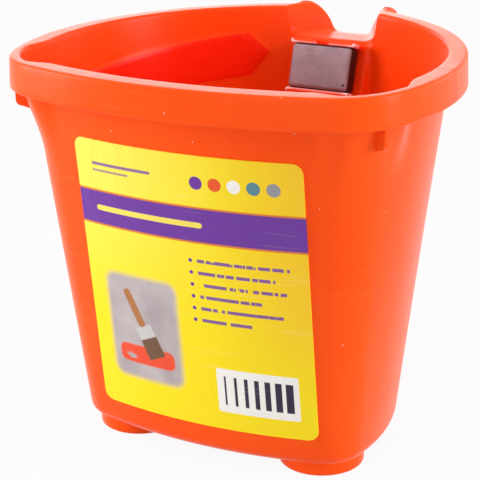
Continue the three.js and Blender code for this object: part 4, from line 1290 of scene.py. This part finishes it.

# %% [markdown]
# Sintered ferrite is a dark ceramic. Ground faces are mid grey with a mauve cast, faintly streaked by
# the wheel and dotted with pores; one larger pore sits near a corner of the front face. The sides are
# left as they were pressed and fired, darker than the face, and a painted shade with a reddish cast from
# the orange round them deepens them to almost black. Two materials on one block would need a face by
# face choice, so one material measures how deep a point lies behind the ground face.

# %% Magnet ferrite
MAUVE_GREY, MAUVE_PALE, STREAK_GREY = (0.250, 0.180, 0.205), (0.345, 0.255, 0.285), (0.41, 0.32, 0.345)
PORE_BLACK, FIRED_AND_SHADED_BLACK = (0.045, 0.03, 0.035), (0.030, 0.012, 0.012)
PORE_PLACE, PORE_EDGE, GROUND_DEPTH = (10.7, 36.4, 114.5), (0.00075, 0.0004), (0.0004, 0.0009)
magnet_ferrite, shader = new_material("magnet_ferrite", (0.25, 0.20, 0.225), 0.5)
shader.inputs["Metallic"].default_value = 0.25
sheet = Sheet(magnet_ferrite.node_tree)
place = sheet.place()
streak = sheet.noise(place, 900.0, 3.0, 0.6, stretch=(0.14, 1.0, 2.2))
cloud = sheet.noise(place, 160.0, 4.0, 0.65)
pores = use_group(sheet, dust_group, Place=place, Speck_Scale=1500.0, Speck_Size=0.16)
pore_at = Vector((PORE_PLACE[0], PORE_PLACE[1] + SHIFT_Y, PORE_PLACE[2])) * MM
distance = sheet.vector("LENGTH", sheet.vector("SUBTRACT", place, tuple(pore_at)))
dark = sheet.math("MAXIMUM", sheet.ramp(distance, *PORE_EDGE), sheet.times(pores["Mask"], 0.7))
color = sheet.blend(sheet.ramp(cloud, 0.3, 0.7), MAUVE_GREY, MAUVE_PALE)
color = sheet.blend(sheet.times(sheet.ramp(streak, 0.45, 0.7), 0.35), color, STREAK_GREY)
color = sheet.blend(dark, color, PORE_BLACK)
from_face = sheet.vector("SUBTRACT", place, tuple(LEAN_FRAME.translation))
depth = sheet.vector("DOT_PRODUCT", from_face, tuple(LEAN_FRAME.to_3x3() @ Vector((0, 0, 1))))
# Fired sides plus painted shade: points behind the ground face turn almost black.
color = sheet.blend(sheet.ramp(depth, *GROUND_DEPTH), color, FIRED_AND_SHADED_BLACK)
sheet.put(shader.inputs["Base Color"], color)
sheet.put(shader.inputs["Roughness"], sheet.ramp(streak, 0.3, 0.7, 0.44, 0.58))
height = sheet.math("SUBTRACT", sheet.times(streak, 0.25), dark)
sheet.put(shader.inputs["Normal"], sheet.bump(height, 0.5, 0.00015))
print("magnet ferrite nodes:", len(magnet_ferrite.node_tree.nodes))

# %% [markdown]
# The pad behind the magnet is pale closed-cell foam. It hardly shows, and a plain colour might pass, but
# a part that is taken apart shows all its pieces, so the foam has its cells: a cell pattern that is
# paler and lower in the middle of each cell.

# %% Adhesive pad
FOAM, FOAM_DARK = (0.84, 0.80, 0.72), (0.62, 0.58, 0.50)
adhesive_pad, shader = new_material("adhesive_pad", (0.80, 0.76, 0.68), 0.8)
sheet = Sheet(adhesive_pad.node_tree)
place = sheet.place()
foam = sheet.nodes.new("ShaderNodeTexVoronoi")
foam.inputs["Scale"].default_value = 2500.0
sheet.put(foam.inputs["Vector"], place)
sheet.put(shader.inputs["Base Color"], sheet.blend(foam.outputs["Distance"], FOAM, FOAM_DARK))
sheet.put(shader.inputs["Normal"], sheet.bump(foam.outputs["Distance"], 0.6, 0.0002))
print("adhesive pad nodes:", len(adhesive_pad.node_tree.nodes))

# %% [markdown]
# The label is printed film with a plain design of its own. An image would need a file, so all of it is
# drawn from one shape, a box with round corners whose edge can be crisp or soft, measured in
# millimetres. The shape is a node group, because the label uses it thirty-five times.

# %% Printed shapes
box_group, sheet, given, result = new_group(
    "printed_box", [("Place", "NodeSocketVector", None), ("Centre", "NodeSocketVector", None),
                    ("Half", "NodeSocketVector", None), ("Corner", "NodeSocketFloat", 0.0),
                    ("Soft", "NodeSocketFloat", 0.08)],
    [("Mask", "NodeSocketFloat")])
corner = sheet.nodes.new("ShaderNodeCombineXYZ")
sheet.links.new(given["Corner"], corner.inputs[0])
sheet.links.new(given["Corner"], corner.inputs[1])
shrunk = sheet.vector("SUBTRACT", given["Half"], corner.outputs[0])
away = sheet.vector("ABSOLUTE", sheet.vector("SUBTRACT", given["Place"], given["Centre"]))
past = sheet.vector("SUBTRACT", away, shrunk)
outside = sheet.vector("LENGTH", sheet.vector("MULTIPLY", sheet.vector("MAXIMUM", past), (1, 1, 0)))
sides = sheet.nodes.new("ShaderNodeSeparateXYZ")
sheet.put(sides.inputs[0], past)
inside = sheet.math("MINIMUM", sheet.math("MAXIMUM", sides.outputs[0], sides.outputs[1]), 0.0)
edge = sheet.math("SUBTRACT", sheet.math("ADD", outside, inside), given["Corner"])
sheet.put(result["Mask"], sheet.ramp(edge, given["Soft"], sheet.times(given["Soft"], -1.0)))


class Print:
    """Layers of ink on the label, each laid over the ones before."""

    def __init__(self, sheet, place, ground):
        self.sheet, self.place, self.color = sheet, place, ground

    def box(self, x, y, half_x, half_y, corner=0.0, soft=0.08, place=None):
        return use_group(self.sheet, box_group, Place=place or self.place, Centre=(x, y, 0),
                         Half=(half_x, half_y, 1), Corner=corner, Soft=soft)["Mask"]

    def lay(self, mask, color, amount=1.0):
        if amount != 1.0:
            mask = self.sheet.times(mask, amount)
        self.color = self.sheet.blend(mask, self.color, color)


print("group:", box_group.name)

# %% [markdown]
# The inks are laid one after the other, as in a press. First comes the yellow ground, which pales to the
# upper left and turns golden to the upper right, as the photograph's label does.

# %% Label ground
YELLOW, YELLOW_PALE, GOLD = (0.94, 0.74, 0.006), (0.96, 0.80, 0.10), (0.94, 0.57, 0.020)
PURPLE, BORDER = (0.150, 0.040, 0.330), (0.72, 0.20, 0.03)
label_film, shader = new_material("label_film", YELLOW, 0.3)
shader.inputs["Specular IOR Level"].default_value = 0.25
sheet = Sheet(label_film.node_tree)
label_size = (LABEL_RIGHT - LABEL_LEFT, LABEL_TOP - LABEL_BOTTOM, 0)
in_mm = sheet.vector("MULTIPLY", sheet.place("UV"), label_size)
spot = sheet.nodes.new("ShaderNodeSeparateXYZ")
sheet.put(spot.inputs[0], in_mm)
from_left, from_bottom = spot.outputs["X"], spot.outputs["Y"]
upper_left = sheet.times(sheet.ramp(from_left, 75, 5), sheet.ramp(from_bottom, 30, 95))
upper_right = sheet.times(sheet.ramp(from_left, 45, 92), sheet.ramp(from_bottom, 5, 60))
ink = Print(sheet, in_mm, sheet.blend(upper_right, sheet.blend(upper_left, YELLOW, YELLOW_PALE), GOLD))
print("label, mm:", label_size[:2])

# %% [markdown]
# A purple band with thin borders crosses the label, with one pale bar on it. Above the band stand a row
# of colour dots and two thin lines, below it lines of short bars, each line after a dot. The bars could
# be placed one by one, but each line is one long box, broken up by a noise that is stretched upright.

# %% Band, dots and bars
BAND_MIDDLE, DOT_START, DOT_RADIUS, DOT_STEP = (42, 76.5), (48, 91.5), 2.3, 6.6
DOT_TINTS = (PURPLE, (0.80, 0.10, 0.02), (0.90, 0.88, 0.84), (0.10, 0.25, 0.30), (0.30, 0.30, 0.33))
BAR_START, BAR_STEP, BAR_REACHES = (46, 63.5), 4.4, (16.0, 13.5, 15.5, 11.0, 14.5, 9.0)
ink.lay(ink.box(*BAND_MIDDLE, 50, 6.6, 0, 0.12), BORDER)
ink.lay(ink.box(*BAND_MIDDLE, 50, 5.9, 0, 0.12), PURPLE)
ink.lay(ink.box(28, BAND_MIDDLE[1], 21, 1.0, 1.0), YELLOW_PALE, 0.9)
for index, tint in enumerate(DOT_TINTS):
    x = DOT_START[0] + DOT_STEP * index
    ink.lay(ink.box(x, DOT_START[1], DOT_RADIUS, DOT_RADIUS, DOT_RADIUS, 0.1), tint)
ink.lay(ink.box(19, 92.6, 12, 0.55, 0.5), PURPLE, 0.85)
ink.lay(ink.box(14.5, 90.2, 7.5, 0.4, 0.4), PURPLE, 0.7)
broken = sheet.ramp(sheet.noise(in_mm, 0.62, 1.0, stretch=(1.0, 0.13, 0)), 0.40, 0.43)
for index, reach in enumerate(BAR_REACHES):
    y = BAR_START[1] - BAR_STEP * index
    bar = ink.box(BAR_START[0] + reach, y, reach, 0.62, 0.2, 0.1)
    ink.lay(sheet.times(bar, broken), PURPLE, 0.9)
    ink.lay(ink.box(43.5, y, 0.7, 0.7, 0.7, 0.1), PURPLE)
print("dots:", len(DOT_TINTS), "lines of bars:", len(BAR_REACHES))

# %% [markdown]
# The picture is a small still life: a soft mauve field, a stroke of orange paint and a flat brush that
# leans across it. Tilted boxes would need a box of another kind, so the place is turned instead, and the
# brush is drawn upright on it.

# %% Picture
PICTURE, BRUSH_LEAN = (22, 33), math.radians(-24)
MAUVE_DARK, MAUVE_LIGHT, PAINT = (0.30, 0.25, 0.27), (0.62, 0.55, 0.56), (0.82, 0.060, 0.008)
BRISTLE, FERRULE, HANDLE_WOOD = (0.16, 0.085, 0.045), (0.55, 0.54, 0.53), (0.42, 0.17, 0.055)
field = sheet.blend(sheet.noise(in_mm, 0.09, 3.0), MAUVE_DARK, MAUVE_LIGHT)
ink.lay(ink.box(*PICTURE, 14.5, 20, 4.0, 1.6), field)
ripple = sheet.noise(in_mm, 0.35, 2.0, stretch=(0.3, 1.0, 0))
stroke = sheet.times(ink.box(22, 22.5, 11.5, 3.6, 2.6, 0.5), sheet.ramp(ripple, 0.30, 0.38))
ink.lay(stroke, PAINT, 0.95)
lean = sheet.nodes.new("ShaderNodeVectorRotate")
lean.rotation_type = "Z_AXIS"
sheet.put(lean.inputs["Vector"], in_mm)
lean.inputs["Center"].default_value = (*PICTURE, 0)
lean.inputs["Angle"].default_value = BRUSH_LEAN
tipped = lean.outputs["Vector"]
ink.lay(ink.box(22, 26.0, 3.6, 4.2, 0.6, 0.35, tipped), BRISTLE)
ink.lay(ink.box(22, 32.0, 3.5, 2.4, 0.3, 0.2, tipped), FERRULE)
ink.lay(ink.box(22, 41.5, 1.5, 7.4, 1.3, 0.2, tipped), HANDLE_WOOD)
print("picture at mm:", PICTURE)

# %% [markdown]
# The lower right has a white field with seven upright lines. They could be one striped texture, but a
# loop lets each be thicker than the one before. Last come a few pale scuffs over all inks.

# %% White field and scuffs
FIELD, FIELD_WHITE, LINE_BLACK = (64, 15.5), (0.88, 0.87, 0.84), (0.03, 0.02, 0.05)
ink.lay(ink.box(*FIELD, 14.5, 8.5, 0.8, 0.1), FIELD_WHITE)
for index in range(7):
    ink.lay(ink.box(52.5 + 3.8 * index, FIELD[1], 0.35 + 0.16 * index, 5.6, 0.1), LINE_BLACK)
scuffs = use_group(sheet, scuff_group, Place=sheet.place(), Amount=0.5)
ink.lay(scuffs["Mask"], (0.98, 0.93, 0.70), 0.16)
sheet.put(shader.inputs["Base Color"], ink.color)
print("label print layers:", sum(n.bl_idname == "ShaderNodeGroup" for n in label_film.node_tree.nodes))

# %% [markdown]
# The film is glossy and not quite smooth: it has slow wrinkles, deepest at the upper left. They could be
# modelled, but they are shallower than the film's edge, so a bump shows them.

# %% Surface of the film
wrinkles = sheet.noise(in_mm, 0.16, 3.0, 0.55, stretch=(1.0, 0.45, 0))
near_top = sheet.times(sheet.ramp(from_bottom, 60, 95), sheet.ramp(from_left, 45, 5))
height = sheet.times(wrinkles, sheet.math("ADD", 0.12, near_top))
sheet.put(shader.inputs["Normal"], sheet.bump(height, 0.5, 0.0012))
sheet.put(shader.inputs["Roughness"], sheet.ramp(wrinkles, 0.3, 0.7, 0.26, 0.36))
print("label film nodes:", len(label_film.node_tree.nodes))

# %% [markdown]
# The plastic's painted shade on the inner side asks which points look inwards. A vertex group painted by
# hand could answer, but the points' own normals know it already: a point of the inner side has a normal
# that runs towards the tub's middle line. The answer is kept as an attribute of the mesh.

# %% Mark of the inner side
LOOKS_INWARD = -0.3
points = np.empty(len(tub_body.data.vertices) * 3)
normals = np.empty_like(points)
tub_body.data.vertices.foreach_get("co", points)
tub_body.data.vertex_normals.foreach_get("vector", normals)
points, normals = points.reshape(-1, 3), normals.reshape(-1, 3)
outward = points[:, :2] - np.array([0.0, (CENTRE_Y + SHIFT_Y) * MM])
facing_out = np.einsum("ij,ij->i", outward, normals[:, :2]) / np.linalg.norm(outward, axis=1)
inward = facing_out < LOOKS_INWARD
mark = tub_body.data.attributes.new("inner_side", "FLOAT", "POINT")
mark.data.foreach_set("value", inward.astype(np.float32))
print("vertices on the inner side:", int(inward.sum()))

# %% [markdown]
# Each new piece gets its finish, soft shading up to a clear edge and its place on the kettle's one body,
# and the CAD node that it stands for is hidden. The edges could be marked sharp by hand, but an angle finds
# them all. The hidden pad stays the CAD node, with its foam.

# %% Dress the pieces
def dress(piece, material, node, angle):
    wear(piece, material)
    deselect_all()
    piece.select_set(True)
    bpy.context.view_layer.objects.active = piece
    bpy.ops.object.shade_smooth_by_angle(angle=math.radians(angle))
    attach(piece, "root")
    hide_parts(node)
    print(piece.name, "triangles:", sum(len(p.vertices) - 2 for p in piece.data.polygons))


dress(tub_body, tub_plastic, "tub", 35)
dress(sleeve, grip_rubber, "handle_grip", 40)
dress(magnet, magnet_ferrite, "brush_magnet", 30)
dress(label, label_film, "front_label", 40)
wear(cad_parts["magnet_adhesive"], adhesive_pad)

# %% [markdown]
# The dressed kettle has to fill the same box as the CAD model.
